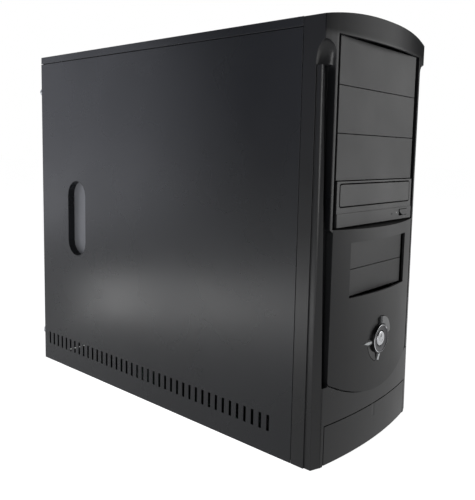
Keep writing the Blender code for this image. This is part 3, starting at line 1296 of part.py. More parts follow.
def build():
    base_pan()
    feet()
    top_cover()
    front_wall()
    rear_wall()
    side_panel(-1, "left_side_panel")
    side_panel(1, "right_side_panel")
    thumb_screws()
    board_tray()
    drive_cage()
    disk_cage()
    front_bezel()
    lower_front_panel()
    bay_covers()
    small_bay_covers()
    power_ring()
    power_button()
    blade("reset_button", RESET_ARC, ((0.2 * MM, 0.1 * MM), (BLADE_PROUD, BLADE_PROUD)), BLACK_PLASTIC)
    blade("lower_blade", LOWER_ARC, ((0.1 * MM, -1 * MM), (0.1 * MM, -1 * MM)), GLOSS_PLASTIC)
    lamps()
    button_board()
    port_door()
    port_module()
    drive_body()
    drive_face()
    disc_tray()
    eject_button()
    psu_case()
    psu_grille()
    rotor("psu_fan_rotor", PSU_FAN, REAR_INNER - FIT - 18 * MM, 35 * MM, 15 * MM, 10 * MM, 7, BLACK_PLASTIC)
    mains_inlet()
    psu_switch()
    fan_frame()
    rotor("exhaust_fan_rotor", (FAN_X, FAN_Z), REAR_INNER - FIT - 18 * MM, 36 * MM, 15 * MM, 12 * MM, 7,
          BLACK_PLASTIC)
    motherboard()
    heatsink()
    cpu_fan()
    memory_module()
    rear_ports()
    port_shield()
    graphics_card()
    slot_covers()
    hard_disk()
    cables()


build()
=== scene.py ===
"""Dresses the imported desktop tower: paint, moulded plastic, metal, small fittings and a plain studio."""
import math

import bpy
from bpy.props import FloatProperty, FloatVectorProperty, PointerProperty
from mathutils import Matrix, Vector


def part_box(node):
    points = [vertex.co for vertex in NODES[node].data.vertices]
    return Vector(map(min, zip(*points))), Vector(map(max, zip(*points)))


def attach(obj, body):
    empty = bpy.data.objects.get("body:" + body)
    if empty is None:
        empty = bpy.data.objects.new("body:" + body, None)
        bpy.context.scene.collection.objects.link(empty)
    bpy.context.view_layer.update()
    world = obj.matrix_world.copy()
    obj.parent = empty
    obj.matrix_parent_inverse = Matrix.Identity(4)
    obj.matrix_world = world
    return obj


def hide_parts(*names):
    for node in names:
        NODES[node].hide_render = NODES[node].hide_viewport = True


bl_info = {
    "name": "Desktop tower dresser",
    "version": (1, 0, 0),
    "blender": (4, 5, 0),
    "location": "View3D > Sidebar > Tower",
    "description": "Finishes the tower's panels, bezel, drives, buttons, ports and screws",
    "category": "Object",
}

MM = 0.001
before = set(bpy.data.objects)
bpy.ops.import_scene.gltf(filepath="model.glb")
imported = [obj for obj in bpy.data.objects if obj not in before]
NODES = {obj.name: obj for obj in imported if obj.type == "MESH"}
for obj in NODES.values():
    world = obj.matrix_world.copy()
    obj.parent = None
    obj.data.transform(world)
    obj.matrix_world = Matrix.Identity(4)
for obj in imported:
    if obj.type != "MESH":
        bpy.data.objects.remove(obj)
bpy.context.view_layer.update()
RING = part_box("power_ring")
DRIVE_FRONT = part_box("drive_face")[0].y
REAR_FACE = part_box("rear_wall")[1].y
FRONT_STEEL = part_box("top_cover")[0].y
HOOD_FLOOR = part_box("bay_cover_1")[1].z

MERGE = 0.002 * MM            # points of a CAD node this close are one point
FLAT = math.radians(0.15)     # faces of a CAD node within this angle are one flat face
ROUNDED = 35.0                # degrees under which the joints of a bevelled piece look smooth
CRISP = 8.0                   # the same on a piece that keeps its sharp edges

# Finger grip of a side panel
GRIP_TO_REAR = 78 * MM        # grip centre to the rear wall
GRIP_HEIGHT = 208 * MM        # grip centre above the floor
GRIP_HALF_WIDTH = 20 * MM
GRIP_HALF_LENGTH = 50 * MM
GRIP_DEEP = 4 * MM            # what lies deeper than this is the grip's floor

# Ring round the power button
RIM_WIDTH = 1.45 * MM
RIM_ROUNDING = 0.2 * MM

# Power symbol
SYMBOL_RADIUS = 3.1 * MM
SYMBOL_LINE = 0.42 * MM       # half the width of its lines
SYMBOL_SINK = 0.02 * MM       # its middle, behind the button's foremost face
SYMBOL_GAP = math.radians(38)           # half the opening at its top
SYMBOL_STROKE = (2.9 * MM, 3.2 * MM)    # its middle above the centre, and its length

# Finishes
DUST = (0.16, 0.155, 0.15)
SPECULAR = 0.5
HOOD_SHADE_SPECULAR = 0.14          # painted shade: the hood reflects less than the rest of the bezel, so it looks darker
HOOD_START = 22 * MM          # the painted shade starts this far ahead of the steel
HOOD_BLEND = (1 * MM, 3 * MM)           # its edge, along and up

# Rear fittings
REAR_SCREW = (3.4 * MM, 1.9 * MM)       # radius and height of the head
SCREW_SINK = 0.2 * MM
SUPPLY_SCREW_INSET = 7 * MM
SUPPLY_SCREW_DROP = 6 * MM
FAN_SCREW_INSET = 4.3 * MM
TONGUE_SIZE = (8.4 * MM, 13 * MM, 2.6 * MM)
TONGUE_FIRST = (9 * MM, 14 * MM)        # first tongue, from the left and lower edge of the ports
TONGUE_STEP = (17 * MM, 34 * MM)        # across and up
TONGUE_BACK = 7.6 * MM
BRACKET_THICK = 2.6 * MM      # rear end of the graphics card that is its steel bracket

# Softboxes: name, place, what it faces, width and height, colour, and its power's name in the settings
WHITE = (1, 1, 1)
SOFTBOXES = (
    ("key_softbox", (1.75, -1.55, 0.6), (0, -0.1, 0.25), (1.3, 1.3), WHITE, "key"),
    ("rear_softbox", (-1.0, 1.45, 0.40), (-0.1, 0.12, 0.25), (0.8, 0.8), (0.88, 0.90, 1.0), "fill"),
    ("low_softbox", (-0.43, 0.14, 0.008), (-0.1, -0.06, 0.09), (0.6, 0.14), WHITE, "low"),
    ("left_softbox", (-2.3, 0.9, 0.85), (-0.1, -0.1, 0.2), (1.3, 1.0), (0.86, 0.88, 1.0), "left"),
    ("edge_softbox", (-1.9, -0.75, 0.5), (-0.05, -0.15, 0.22), (0.4, 1.3), WHITE, "edge"),
)
FLOOR_SIZE = 30
FLOOR_DROP = 0.2 * MM
FLOOR_BOUNCE = 0.46           # how brightly the floor lights the tower


# ---------------------------------------------------------------- settings


class TowerFinish(bpy.types.PropertyGroup):
    """Colours and surface finishes of the tower."""

    plastic: FloatVectorProperty(
        name="Bezel plastic", description="Moulded black plastic of the front",
        default=(0.0055, 0.0058, 0.0068), size=3, min=0, max=1, subtype="COLOR")
    cover: FloatVectorProperty(
        name="Cover plastic", description="Plastic of the flat bay covers",
        default=(0.012, 0.0122, 0.0132), size=3, min=0, max=1, subtype="COLOR")
    paint: FloatVectorProperty(
        name="Paint", description="Black powder paint on the steel",
        default=(0.0055, 0.0066, 0.0092), size=3, min=0, max=1, subtype="COLOR")
    zinc: FloatVectorProperty(
        name="Zinc", description="Bare zinc-plated steel",
        default=(0.55, 0.56, 0.57), size=3, min=0, max=1, subtype="COLOR")
    silver: FloatVectorProperty(
        name="Silver", description="Ring and power button",
        default=(0.62, 0.63, 0.65), size=3, min=0, max=1, subtype="COLOR")
    grain: FloatProperty(
        name="Grain depth", description="Depth of the moulded grain",
        default=0.012 * MM, min=0, unit="LENGTH")
    peel: FloatProperty(
        name="Paint ripple", description="Depth of the paint's ripple",
        default=0.02 * MM, min=0, unit="LENGTH")


class TowerStage(bpy.types.PropertyGroup):
    """Camera and lights."""

    place: FloatVectorProperty(
        name="Camera place", description="Where the camera stands",
        default=(-0.5313, FRONT_STEEL - 0.3105, 0.2960), size=3, subtype="TRANSLATION")
    yaw: FloatProperty(
        name="Yaw", description="Turn of the view to the right of straight back",
        default=math.radians(49.21), subtype="ANGLE")
    pitch: FloatProperty(
        name="Pitch", description="How far the view looks down",
        default=math.radians(6.21), subtype="ANGLE")
    roll: FloatProperty(
        name="Roll", description="Tilt of the camera",
        default=math.radians(1.22), subtype="ANGLE")
    lens: FloatProperty(name="Lens", description="Focal length in millimetres", default=43.19, min=1)
    shift: FloatVectorProperty(
        name="Shift", description="Camera shift", default=(-0.0096, -0.0648), size=2)
    key: FloatProperty(
        name="Key light", description="Power of the right softbox",
        default=12.0, min=0, unit="POWER")
    fill: FloatProperty(
        name="Fill light", description="Power of the left rear softbox",
        default=2.3, min=0, unit="POWER")
    low: FloatProperty(
        name="Low light", description="Power of the low left softbox",
        default=0.55, min=0, unit="POWER")
    left: FloatProperty(
        name="Left light", description="Power of the far left softbox",
        default=1.9, min=0, unit="POWER")
    edge: FloatProperty(
        name="Edge light", description="Power of the tall softbox ahead of the left side",
        default=9.0, min=0, unit="POWER")
    air: FloatProperty(
        name="Surroundings", description="Brightness of the room round the tower",
        default=0.03, min=0)
    floor_glow: FloatProperty(
        name="Floor glow", description="Brightness of the floor to the eye",
        default=0.97, min=0)


# ---------------------------------------------------------------- shader effects


def effect(name, inputs, outputs):
    """An empty node group with named inputs as (name, type, default) and outputs as (name, type)."""
    tree = bpy.data.node_groups.new(name, "ShaderNodeTree")
    for label, kind, default in inputs:
        socket = tree.interface.new_socket(label, in_out="INPUT", socket_type=kind)
        if default is not None:
            socket.default_value = default
    for label, kind in outputs:
        tree.interface.new_socket(label, in_out="OUTPUT", socket_type=kind)
    source = tree.nodes.new("NodeGroupInput")
    sink = tree.nodes.new("NodeGroupOutput")
    return tree, source, sink


def add(tree, kind, **settings):
    """A new node with its settings, where a key that is a socket's name sets that socket."""
    node = tree.nodes.new(kind)
    for key, value in settings.items():
        if hasattr(node, key):
            setattr(node, key, value)
        else:
            node.inputs[key.replace("_", " ")].default_value = value
    return node


def wire(tree, source, target):
    """Links an output socket to an input socket."""
    tree.links.new(source, target)


def feed(tree, value, socket):
    """Gives a socket a plain number, or links another node's output to it."""
    if isinstance(value, (int, float)):
        socket.default_value = value
    else:
        wire(tree, value, socket)


def noise(tree, vector, scale, detail, roughness):
    """Cloudy noise of this scale, as a value round a half."""
    node = add(tree, "ShaderNodeTexNoise")
    node.inputs["Detail"].default_value = detail
    node.inputs["Roughness"].default_value = roughness
    wire(tree, vector, node.inputs["Vector"])
    feed(tree, scale, node.inputs["Scale"])
    return node.outputs["Fac"]


def math_node(tree, operation, a, b, clamp=False):
    """The result of a sum or product of two values."""
    node = add(tree, "ShaderNodeMath", operation=operation, use_clamp=clamp)
    for socket, value in zip(node.inputs, (a, b)):
        feed(tree, value, socket)
    return node.outputs[0]


def spread(tree, value, low, high, to_low=0.0, to_high=1.0):
    """Maps a value from one range to another, and holds it at the ends."""
    node = add(tree, "ShaderNodeMapRange", clamp=True)
    wire(tree, value, node.inputs["Value"])
    for label, number in (("From Min", low), ("From Max", high), ("To Min", to_low), ("To Max", to_high)):
        node.inputs[label].default_value = number
    return node.outputs["Result"]


def grain_effect():
    """Fine moulded or sprayed grain: a height, and a slow mottle for colour and gloss."""
    tree, source, sink = effect(
        "Grain",
        [("Vector", "NodeSocketVector", None), ("Grain Scale", "NodeSocketFloat", 1800.0),
         ("Mottle Scale", "NodeSocketFloat", 14.0)],
        [("Height", "NodeSocketFloat"), ("Mottle", "NodeSocketFloat")])
    fine = noise(tree, source.outputs["Vector"], source.outputs["Grain Scale"], 3.0, 0.6)
    slow = noise(tree, source.outputs["Vector"], source.outputs["Mottle Scale"], 4.0, 0.55)
    wire(tree, fine, sink.inputs["Height"])
    wire(tree, spread(tree, slow, 0.3, 0.7), sink.inputs["Mottle"])
    return tree


def brush_effect():
    """Rolling lines of plated sheet: a height and a streak mask."""
    tree, source, sink = effect(
        "Brush",
        [("Vector", "NodeSocketVector", None), ("Line Scale", "NodeSocketFloat", 900.0)],
        [("Height", "NodeSocketFloat"), ("Streak", "NodeSocketFloat")])
    stretch = add(tree, "ShaderNodeMapping")
    stretch.inputs["Scale"].default_value = (0.02, 0.02, 1.0)
    wire(tree, source.outputs["Vector"], stretch.inputs["Vector"])
    lines = noise(tree, stretch.outputs["Vector"], source.outputs["Line Scale"], 3.0, 0.6)
    spangle = add(tree, "ShaderNodeTexVoronoi")
    spangle.inputs["Scale"].default_value = 90.0
    wire(tree, source.outputs["Vector"], spangle.inputs["Vector"])
    mixed = math_node(tree, "MULTIPLY", spangle.outputs["Distance"], 0.8)
    wire(tree, lines, sink.inputs["Height"])
    wire(tree, math_node(tree, "ADD", mixed, lines, clamp=True), sink.inputs["Streak"])
    return tree


def dust_effect():
    """A mask of settled dust: faces that look up, broken up by noise."""
    tree, source, sink = effect(
        "Dust",
        [("Vector", "NodeSocketVector", None), ("Amount", "NodeSocketFloat", 0.3)],
        [("Mask", "NodeSocketFloat")])
    geometry = add(tree, "ShaderNodeNewGeometry")
    split = add(tree, "ShaderNodeSeparateXYZ")
    wire(tree, geometry.outputs["Normal"], split.inputs["Vector"])
    up = spread(tree, split.outputs["Z"], 0.6, 1.0)
    patch = spread(tree, noise(tree, source.outputs["Vector"], 35.0, 6.0, 0.65), 0.35, 0.75)
    both = math_node(tree, "MULTIPLY", up, patch)
    mask = math_node(tree, "MULTIPLY", both, source.outputs["Amount"], True)
    wire(tree, mask, sink.inputs["Mask"])
    return tree


def scuff_effect():
    """Sparse fine scratches and finger marks as a mask."""
    tree, source, sink = effect(
        "Scuff",
        [("Vector", "NodeSocketVector", None), ("Amount", "NodeSocketFloat", 0.3)],
        [("Mask", "NodeSocketFloat")])
    turned = add(tree, "ShaderNodeMapping")
    turned.inputs["Rotation"].default_value = (0.4, 0.7, 0.2)
    turned.inputs["Scale"].default_value = (1.0, 0.08, 1.0)
    wire(tree, source.outputs["Vector"], turned.inputs["Vector"])
    lines = spread(tree, noise(tree, turned.outputs["Vector"], 420.0, 2.0, 0.4), 0.70, 0.78)
    patch = spread(tree, noise(tree, source.outputs["Vector"], 22.0, 3.0, 0.6), 0.5, 0.68)
    both = math_node(tree, "MULTIPLY", lines, patch)
    mask = math_node(tree, "MULTIPLY", both, source.outputs["Amount"], True)
    wire(tree, mask, sink.inputs["Mask"])
    return tree


EFFECTS = {}


def use_effect(tree, name, vector, **values):
    """Places one of the shared effects in a material, reading the object's own coordinates."""
    if name not in EFFECTS:
        EFFECTS[name] = {"Grain": grain_effect, "Brush": brush_effect, "Dust": dust_effect,
                         "Scuff": scuff_effect}[name]()
    node = tree.nodes.new("ShaderNodeGroup")
    node.node_tree = EFFECTS[name]
    wire(tree, vector, node.inputs["Vector"])
    for key, value in values.items():
        node.inputs[key.replace("_", " ")].default_value = value
    return node


def blank(name, roughness, metallic=0.0, specular=SPECULAR):
    """A material with its Principled shader and its Object coordinates."""
    material = bpy.data.materials.new(name)
    material.use_nodes = True
    tree = material.node_tree
    shader = tree.nodes["Principled BSDF"]
    shader.inputs["Roughness"].default_value = roughness
    shader.inputs["Metallic"].default_value = metallic
    shader.inputs["Specular IOR Level"].default_value = specular
    vector = tree.nodes.new("ShaderNodeTexCoord").outputs["Object"]
    return material, tree, shader, vector


def mix_colour(tree, mask, first, second):
    """The first colour where the mask is black and the second where it is white."""
    node = add(tree, "ShaderNodeMix", data_type="RGBA")
    wire(tree, mask, node.inputs[0])
    for socket, value in ((node.inputs[6], first), (node.inputs[7], second)):
        if isinstance(value, bpy.types.NodeSocket):
            wire(tree, value, socket)
        else:
            socket.default_value = (*value, 1.0)
    return node.outputs[2]


def bump(tree, shader, height, depth):
    """Raises the surface by a height pattern of this depth."""
    node = add(tree, "ShaderNodeBump")
    node.inputs["Strength"].default_value = 1.0
    node.inputs["Distance"].default_value = depth
    wire(tree, height, node.inputs["Height"])
    wire(tree, node.outputs["Normal"], shader.inputs["Normal"])


def lighter(colour, factor):
    """The colour times a factor, which darkens it below 1."""
    return tuple(min(1.0, c * factor) for c in colour)


def worn_coat(name, colour, roughness, grain, mottle, contrast, dust, scuffs, depth):
    """A coloured coat: grain, slow changes of tone and gloss, dust on what looks up, and scuffs.

    The two values of scuffs are how many there are and how much rougher they make the coat.
    """
    material, tree, shader, vector = blank(name, roughness)
    coat = use_effect(tree, "Grain", vector, Grain_Scale=grain, Mottle_Scale=mottle)
    dusty = use_effect(tree, "Dust", vector, Amount=dust)
    scuff = use_effect(tree, "Scuff", vector, Amount=scuffs[0])
    base = mix_colour(tree, coat.outputs["Mottle"], lighter(colour, 0.9), lighter(colour, contrast))
    base = mix_colour(tree, dusty.outputs["Mask"], base, DUST)
    wire(tree, base, shader.inputs["Base Color"])
    gloss = spread(tree, coat.outputs["Mottle"], 0.0, 1.0, roughness - 0.03, roughness + 0.04)
    rubbed = math_node(tree, "MULTIPLY", scuff.outputs["Mask"], scuffs[1])
    wire(tree, math_node(tree, "ADD", gloss, rubbed, True), shader.inputs["Roughness"])
    bump(tree, shader, coat.outputs["Height"], depth)
    return material, tree, shader, vector


def moulded(name, colour, roughness=0.42, grain=1800.0, depth=None, shaded_hood=False):
    """Moulded plastic; on the pieces that have a hood, painted shade lowers the hood's specular so it
    looks darker.
    """
    if depth is None:
        depth = bpy.context.scene.tower_finish.grain
    material, tree, shader, vector = worn_coat(
        name, colour, roughness, grain, mottle=16.0, contrast=1.12, dust=0.25, scuffs=(0.35, 0.12),
        depth=depth)
    if shaded_hood:
        # painted shade: the specular falls on the hood so that it looks darker
        split = add(tree, "ShaderNodeSeparateXYZ")
        wire(tree, vector, split.inputs["Vector"])
        along, up = HOOD_BLEND
        start = FRONT_STEEL - HOOD_START
        high = spread(tree, split.outputs["Z"], HOOD_FLOOR - up, HOOD_FLOOR + up)
        ahead = spread(tree, split.outputs["Y"], start - along, start, 1.0, 0.0)
        both = math_node(tree, "MULTIPLY", high, ahead)
        hood_shade = spread(tree, both, 0.0, 1.0, SPECULAR, HOOD_SHADE_SPECULAR)
        wire(tree, hood_shade, shader.inputs["Specular IOR Level"])
    return material


def painted(name, colour, roughness):
    """Powder paint on sheet steel, with a gentle ripple."""
    ripple = bpy.context.scene.tower_finish.peel
    material, *_ = worn_coat(
        name, colour, roughness, grain=650.0, mottle=9.0, contrast=1.1, dust=0.22, scuffs=(0.4, 0.1),
        depth=ripple)
    return material


def plated(name, colour, roughness=0.36):
    """Bare plated sheet with rolling lines and faint spangle."""
    material, tree, shader, vector = blank(name, roughness, 1.0)
    brush = use_effect(tree, "Brush", vector, Line_Scale=1400.0)
    wire(tree, mix_colour(tree, brush.outputs["Streak"], lighter(colour, 0.82), lighter(colour, 1.08)),
         shader.inputs["Base Color"])
    wire(tree, spread(tree, brush.outputs["Streak"], 0.0, 1.0, roughness + 0.06, roughness - 0.05),
         shader.inputs["Roughness"])
    bump(tree, shader, brush.outputs["Height"], 0.006 * MM)
    return material


def circuit_board(name):
    """Green solder mask with traces as thin lighter lines along the board."""
    material, tree, shader, vector = blank(name, 0.35)
    bricks = add(tree, "ShaderNodeTexBrick", offset=0.37, squash=1.0)
    bricks.inputs["Scale"].default_value = 160.0
    bricks.inputs["Mortar Size"].default_value = 0.012
    bricks.inputs["Mortar Smooth"].default_value = 0.2
    side = add(tree, "ShaderNodeMapping")
    side.inputs["Rotation"].default_value = (0.0, math.radians(90), 0.0)
    wire(tree, vector, side.inputs["Vector"])
    wire(tree, side.outputs["Vector"], bricks.inputs["Vector"])
    wire(tree, mix_colour(tree, bricks.outputs["Fac"], (0.012, 0.07, 0.03), (0.03, 0.15, 0.06)),
         shader.inputs["Base Color"])
    bump(tree, shader, bricks.outputs["Fac"], 0.03 * MM)
    return material


MATERIALS = {}


def material(key):
    """One of the finishes by name, made the first time it is asked for."""
    if key in MATERIALS:
        return MATERIALS[key]
    look = bpy.context.scene.tower_finish
    makers = {
        "bezel": lambda: moulded("bezel_plastic", tuple(look.plastic), 0.30, shaded_hood=True),
        "panel": lambda: moulded("panel_plastic", tuple(look.plastic), 0.42),
        "line": lambda: plated("bright_rim", (0.78, 0.79, 0.81), 0.24),
        "cover": lambda: moulded("cover_plastic", tuple(look.cover), 0.46, 1500.0),
        "drive": lambda: moulded("drive_plastic", lighter(look.cover, 0.85), 0.42, 2200.0),
        "shadow": lambda: moulded("inner_plastic", lighter(look.plastic, 0.5), 0.6),
        "gloss": lambda: moulded("gloss_plastic", lighter(look.plastic, 0.6), 0.14, 900.0, 0.002 * MM),
        "reset": lambda: moulded("reset_plastic", (0.20, 0.205, 0.21), 0.34, 1500.0),
        "paint": lambda: painted("black_paint", tuple(look.paint), 0.27),
        # painted highlight: the grip's floor is paler so that it looks lit
        "grip": lambda: painted("grip_paint", (0.17, 0.175, 0.19), 0.36),
        "zinc": lambda: plated("zinc_plate", tuple(look.zinc)),
        "silver": lambda: plated("satin_silver", tuple(look.silver), 0.26),
        "annulus": lambda: plated("dark_satin", (0.10, 0.10, 0.105), 0.34),
        "rubber": lambda: moulded("black_rubber", (0.016, 0.016, 0.016), 0.75, 700.0, 0.03 * MM),
        "board": lambda: circuit_board("green_board"),
        "cable": lambda: moulded("cable_sheath", (0.02, 0.02, 0.02), 0.5),
        "lamp": lambda: moulded("lamp_plastic", (0.62, 0.64, 0.65), 0.15, 900.0, 0.002 * MM),
        "liner_green": lambda: moulded("port_green", (0.05, 0.30, 0.12), 0.4),
        "liner_blue": lambda: moulded("port_blue", (0.04, 0.10, 0.40), 0.4),
        "liner_grey": lambda: moulded("port_grey", (0.25, 0.25, 0.26), 0.4),
        "liner_violet": lambda: moulded("port_violet", (0.22, 0.08, 0.34), 0.4),
        "symbol": lambda: moulded("printed_symbol", (0.02, 0.02, 0.022), 0.4),
    }
    MATERIALS[key] = makers[key]()
    return MATERIALS[key]


# ---------------------------------------------------------------- modelling helpers


def only(*objects):
    """Selects these objects and nothing else, the first one active."""
    bpy.ops.object.select_all(action="DESELECT")
    for obj in objects:
        obj.select_set(True)
    bpy.context.view_layer.objects.active = objects[0]


def paint_with(obj, key):
    """Gives the object this one finish."""
    obj.data.materials.clear()
    obj.data.materials.append(material(key))


def merged_copy(node, name, clean):
    """A copy of a CAD node with its points merged and, if clean, its flat faces made whole."""
    source = NODES[node]
    piece = bpy.data.objects.new(name, source.data.copy())
    bpy.context.scene.collection.objects.link(piece)
    only(piece)
    bpy.ops.object.mode_set(mode="EDIT")
    bpy.ops.mesh.select_all(action="SELECT")
    bpy.ops.mesh.remove_doubles(threshold=MERGE)
    if clean:
        bpy.ops.mesh.dissolve_limited(angle_limit=FLAT)
    bpy.ops.object.mode_set(mode="OBJECT")
    return piece


def soften(piece, width, segments=2, angle=30.0, harden=False, clamp=True):
    """Rounds the edges sharper than the angle. Hardened, the faces beside them stay flat to the light."""
    if harden:
        only(piece)
        bpy.ops.object.shade_smooth_by_angle(angle=math.radians(CRISP))
    edge = piece.modifiers.new("soft_edges", "BEVEL")
    edge.width = width
    edge.segments = segments
    edge.limit_method = "ANGLE"
    edge.angle_limit = math.radians(angle)
    edge.use_clamp_overlap = clamp
    edge.miter_outer = "MITER_SHARP" if harden else "MITER_ARC"
    edge.harden_normals = harden
    only(piece)
    bpy.ops.object.modifier_apply(modifier=edge.name)


def shade(piece, angle=ROUNDED, even=True):
    """Smooths what is flatter than the angle, with the light led by the broad faces if even."""
    only(piece)
    bpy.ops.object.shade_smooth_by_angle(angle=math.radians(angle))
    if not even:
        return
    normals = piece.modifiers.new("even_normals", "WEIGHTED_NORMAL")
    normals.keep_sharp = True
    bpy.ops.object.modifier_apply(modifier=normals.name)


def dressed(node, body, key, width=0.4 * MM, segments=2, angle=30.0, clean=True, harden=False,
            clamp=True):
    """Stands in for a CAD node: the same shape with softened edges and a finished surface."""
    piece = merged_copy(node, node + "_finished", clean)
    if width:
        soften(piece, width, segments, angle, harden, clamp)
    if not harden:
        shade(piece, ROUNDED if clean else CRISP, clean)
    paint_with(piece, key)
    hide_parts(node)
    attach(piece, body)
    return piece


def keep(node, key):
    """Keeps a CAD node as it is, with a finished material."""
    paint_with(NODES[node], key)


def primitive(kind, name, **settings):
    """A primitive with nothing else selected, ready to be shaped."""
    bpy.ops.object.select_all(action="DESELECT")
    getattr(bpy.ops.mesh, f"primitive_{kind}_add")(**settings)
    piece = bpy.context.active_object
    piece.name = name
    return piece


def settle(piece):
    """Applies place, turn and size, so the object stands at the origin."""
    only(piece)
    bpy.ops.object.transform_apply(location=True, rotation=True, scale=True)


def bar(name, centre, size, key, width):
    """A small rounded bar: a cube scaled to size, its edges bevelled."""
    piece = primitive("cube", name, size=1, location=centre, scale=size)
    settle(piece)
    soften(piece, width)
    shade(piece)
    paint_with(piece, key)
    return piece


def fitted(piece, body):
    """Gives a new piece the body that it rides on."""
    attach(piece, body)


def cross_screw(name, radius, height):
    """A pan-head screw facing the rear, with a cross sunk in its head, round the origin."""
    head = primitive("cylinder", name, vertices=28, radius=radius, depth=height,
                     location=(0, height / 2, 0), rotation=(math.radians(90), 0, 0))
    settle(head)
    soften(head, height * 0.45, 3, 50)
    for turn in (45, 135):
        arm = primitive("cube", "cross_arm", size=1, location=(0, height, 0),
                        scale=(radius * 1.15, height * 1.1, radius * 0.26),
                        rotation=(0, math.radians(turn), 0))
        settle(arm)
        recess = head.modifiers.new("cross", "BOOLEAN")
        recess.operation = "DIFFERENCE"
        recess.object = arm
        only(head)
        bpy.ops.object.modifier_apply(modifier=recess.name)
        bpy.data.objects.remove(arm)
    shade(head, 30, False)
    paint_with(head, "zinc")
    return head


def copies(master, places):
    """One copy of the master at each place, the master itself removed."""
    made = []
    for index, place in enumerate(places):
        copy = bpy.data.objects.new(f"{master.name}_{index + 1}", master.data.copy())
        bpy.context.scene.collection.objects.link(copy)
        copy.location = place
        settle(copy)
        made.append(copy)
    bpy.data.objects.remove(master)
    return made


def grouped(pieces, name):
    """Joins pieces that ride together into one object."""
    only(*pieces)
    if len(pieces) > 1:
        bpy.ops.object.join()
    piece = bpy.context.active_object
    piece.name = name
    return piece


# ---------------------------------------------------------------- operators


class TOWER_OT_steel(bpy.types.Operator):
    """Paint the outer steel and plate the inner one"""

    bl_idname = "tower.steel"
    bl_label = "Steel body"

    def execute(self, context):
        for side in ("left", "right"):
            panel = dressed(side + "_side_panel", side + "_panel", "paint", 0.35 * MM,
                            angle=50, harden=True, clamp=False)
            self.highlighted_grip(panel)
        dressed("top_cover", "case", "paint", 0.6 * MM, 3)
        for node in ("rear_wall", "psu_case", "port_shield", "base_pan"):
            dressed(node, "case", "zinc", 0, clean=False)
        for node in ("front_wall", "board_tray", "drive_cage", "disk_cage"):
            keep(node, "zinc")
        return {"FINISHED"}

    def highlighted_grip(self, panel):
        """Gives the floor of the pressed finger grip a paler paint: a painted highlight for the light that
        the floor catches.
        """
        panel.data.materials.append(material("grip"))
        outer = max(abs(point.co.x) for point in panel.data.vertices)
        middle = REAR_FACE - GRIP_TO_REAR
        for face in panel.data.polygons:
            across = abs(face.center.y - middle) < GRIP_HALF_WIDTH
            along = abs(face.center.z - GRIP_HEIGHT) < GRIP_HALF_LENGTH
            deep = outer - abs(face.center.x) > GRIP_DEEP
            if across and along and deep and abs(face.normal.x) > 0.5:
                face.material_index = 1


class TOWER_OT_front(bpy.types.Operator):
    """Finish the moulded front: bezel, lower panel, covers and port door"""

    bl_idname = "tower.front"
    bl_label = "Moulded front"

    def execute(self, context):
        dressed("front_bezel", "case", "bezel", 0.35 * MM, angle=50, clamp=False)
        dressed("lower_front_panel", "case", "panel", 0.5 * MM)
        for number in (1, 2, 3):
            dressed(f"bay_cover_{number}", "case", "cover", 0.3 * MM)
        for level in ("upper", "lower"):
            dressed("small_bay_cover_" + level, "case", "cover", 0.3 * MM)
        dressed("port_door", "door", "bezel", 0.5 * MM)
        keep("port_module", "gloss")
        return {"FINISHED"}


class TOWER_OT_drive(bpy.types.Operator):
    """Finish the optical drive: frame, tray door, button and lamp"""

    bl_idname = "tower.drive"
    bl_label = "Optical drive"

    def execute(self, context):
        dressed("drive_face", "case", "drive", 0, clean=False)
        self.drive_lamp()
        dressed("disc_tray", "tray", "drive", 0.5 * MM)
        dressed("eject_button", "eject", "drive")
        keep("drive_body", "zinc")
        return {"FINISHED"}

    def drive_lamp(self):
        """The small activity lamp in the drive's strip, between its release hole and the button."""
        low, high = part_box("eject_button")
        sunk = 0.45 * MM
        lamp = primitive("cylinder", "drive_lamp", vertices=24, radius=1.1 * MM, depth=1.2 * MM,
                         location=(low.x - 6 * MM, DRIVE_FRONT + sunk, (low.z + high.z) / 2),
                         rotation=(math.radians(90), 0, 0))
        lamp.scale = (1.5, 1.0, 1.0)
        settle(lamp)
        soften(lamp, 0.3 * MM, angle=50)
        shade(lamp)
        paint_with(lamp, "gloss")
        fitted(lamp, "case")


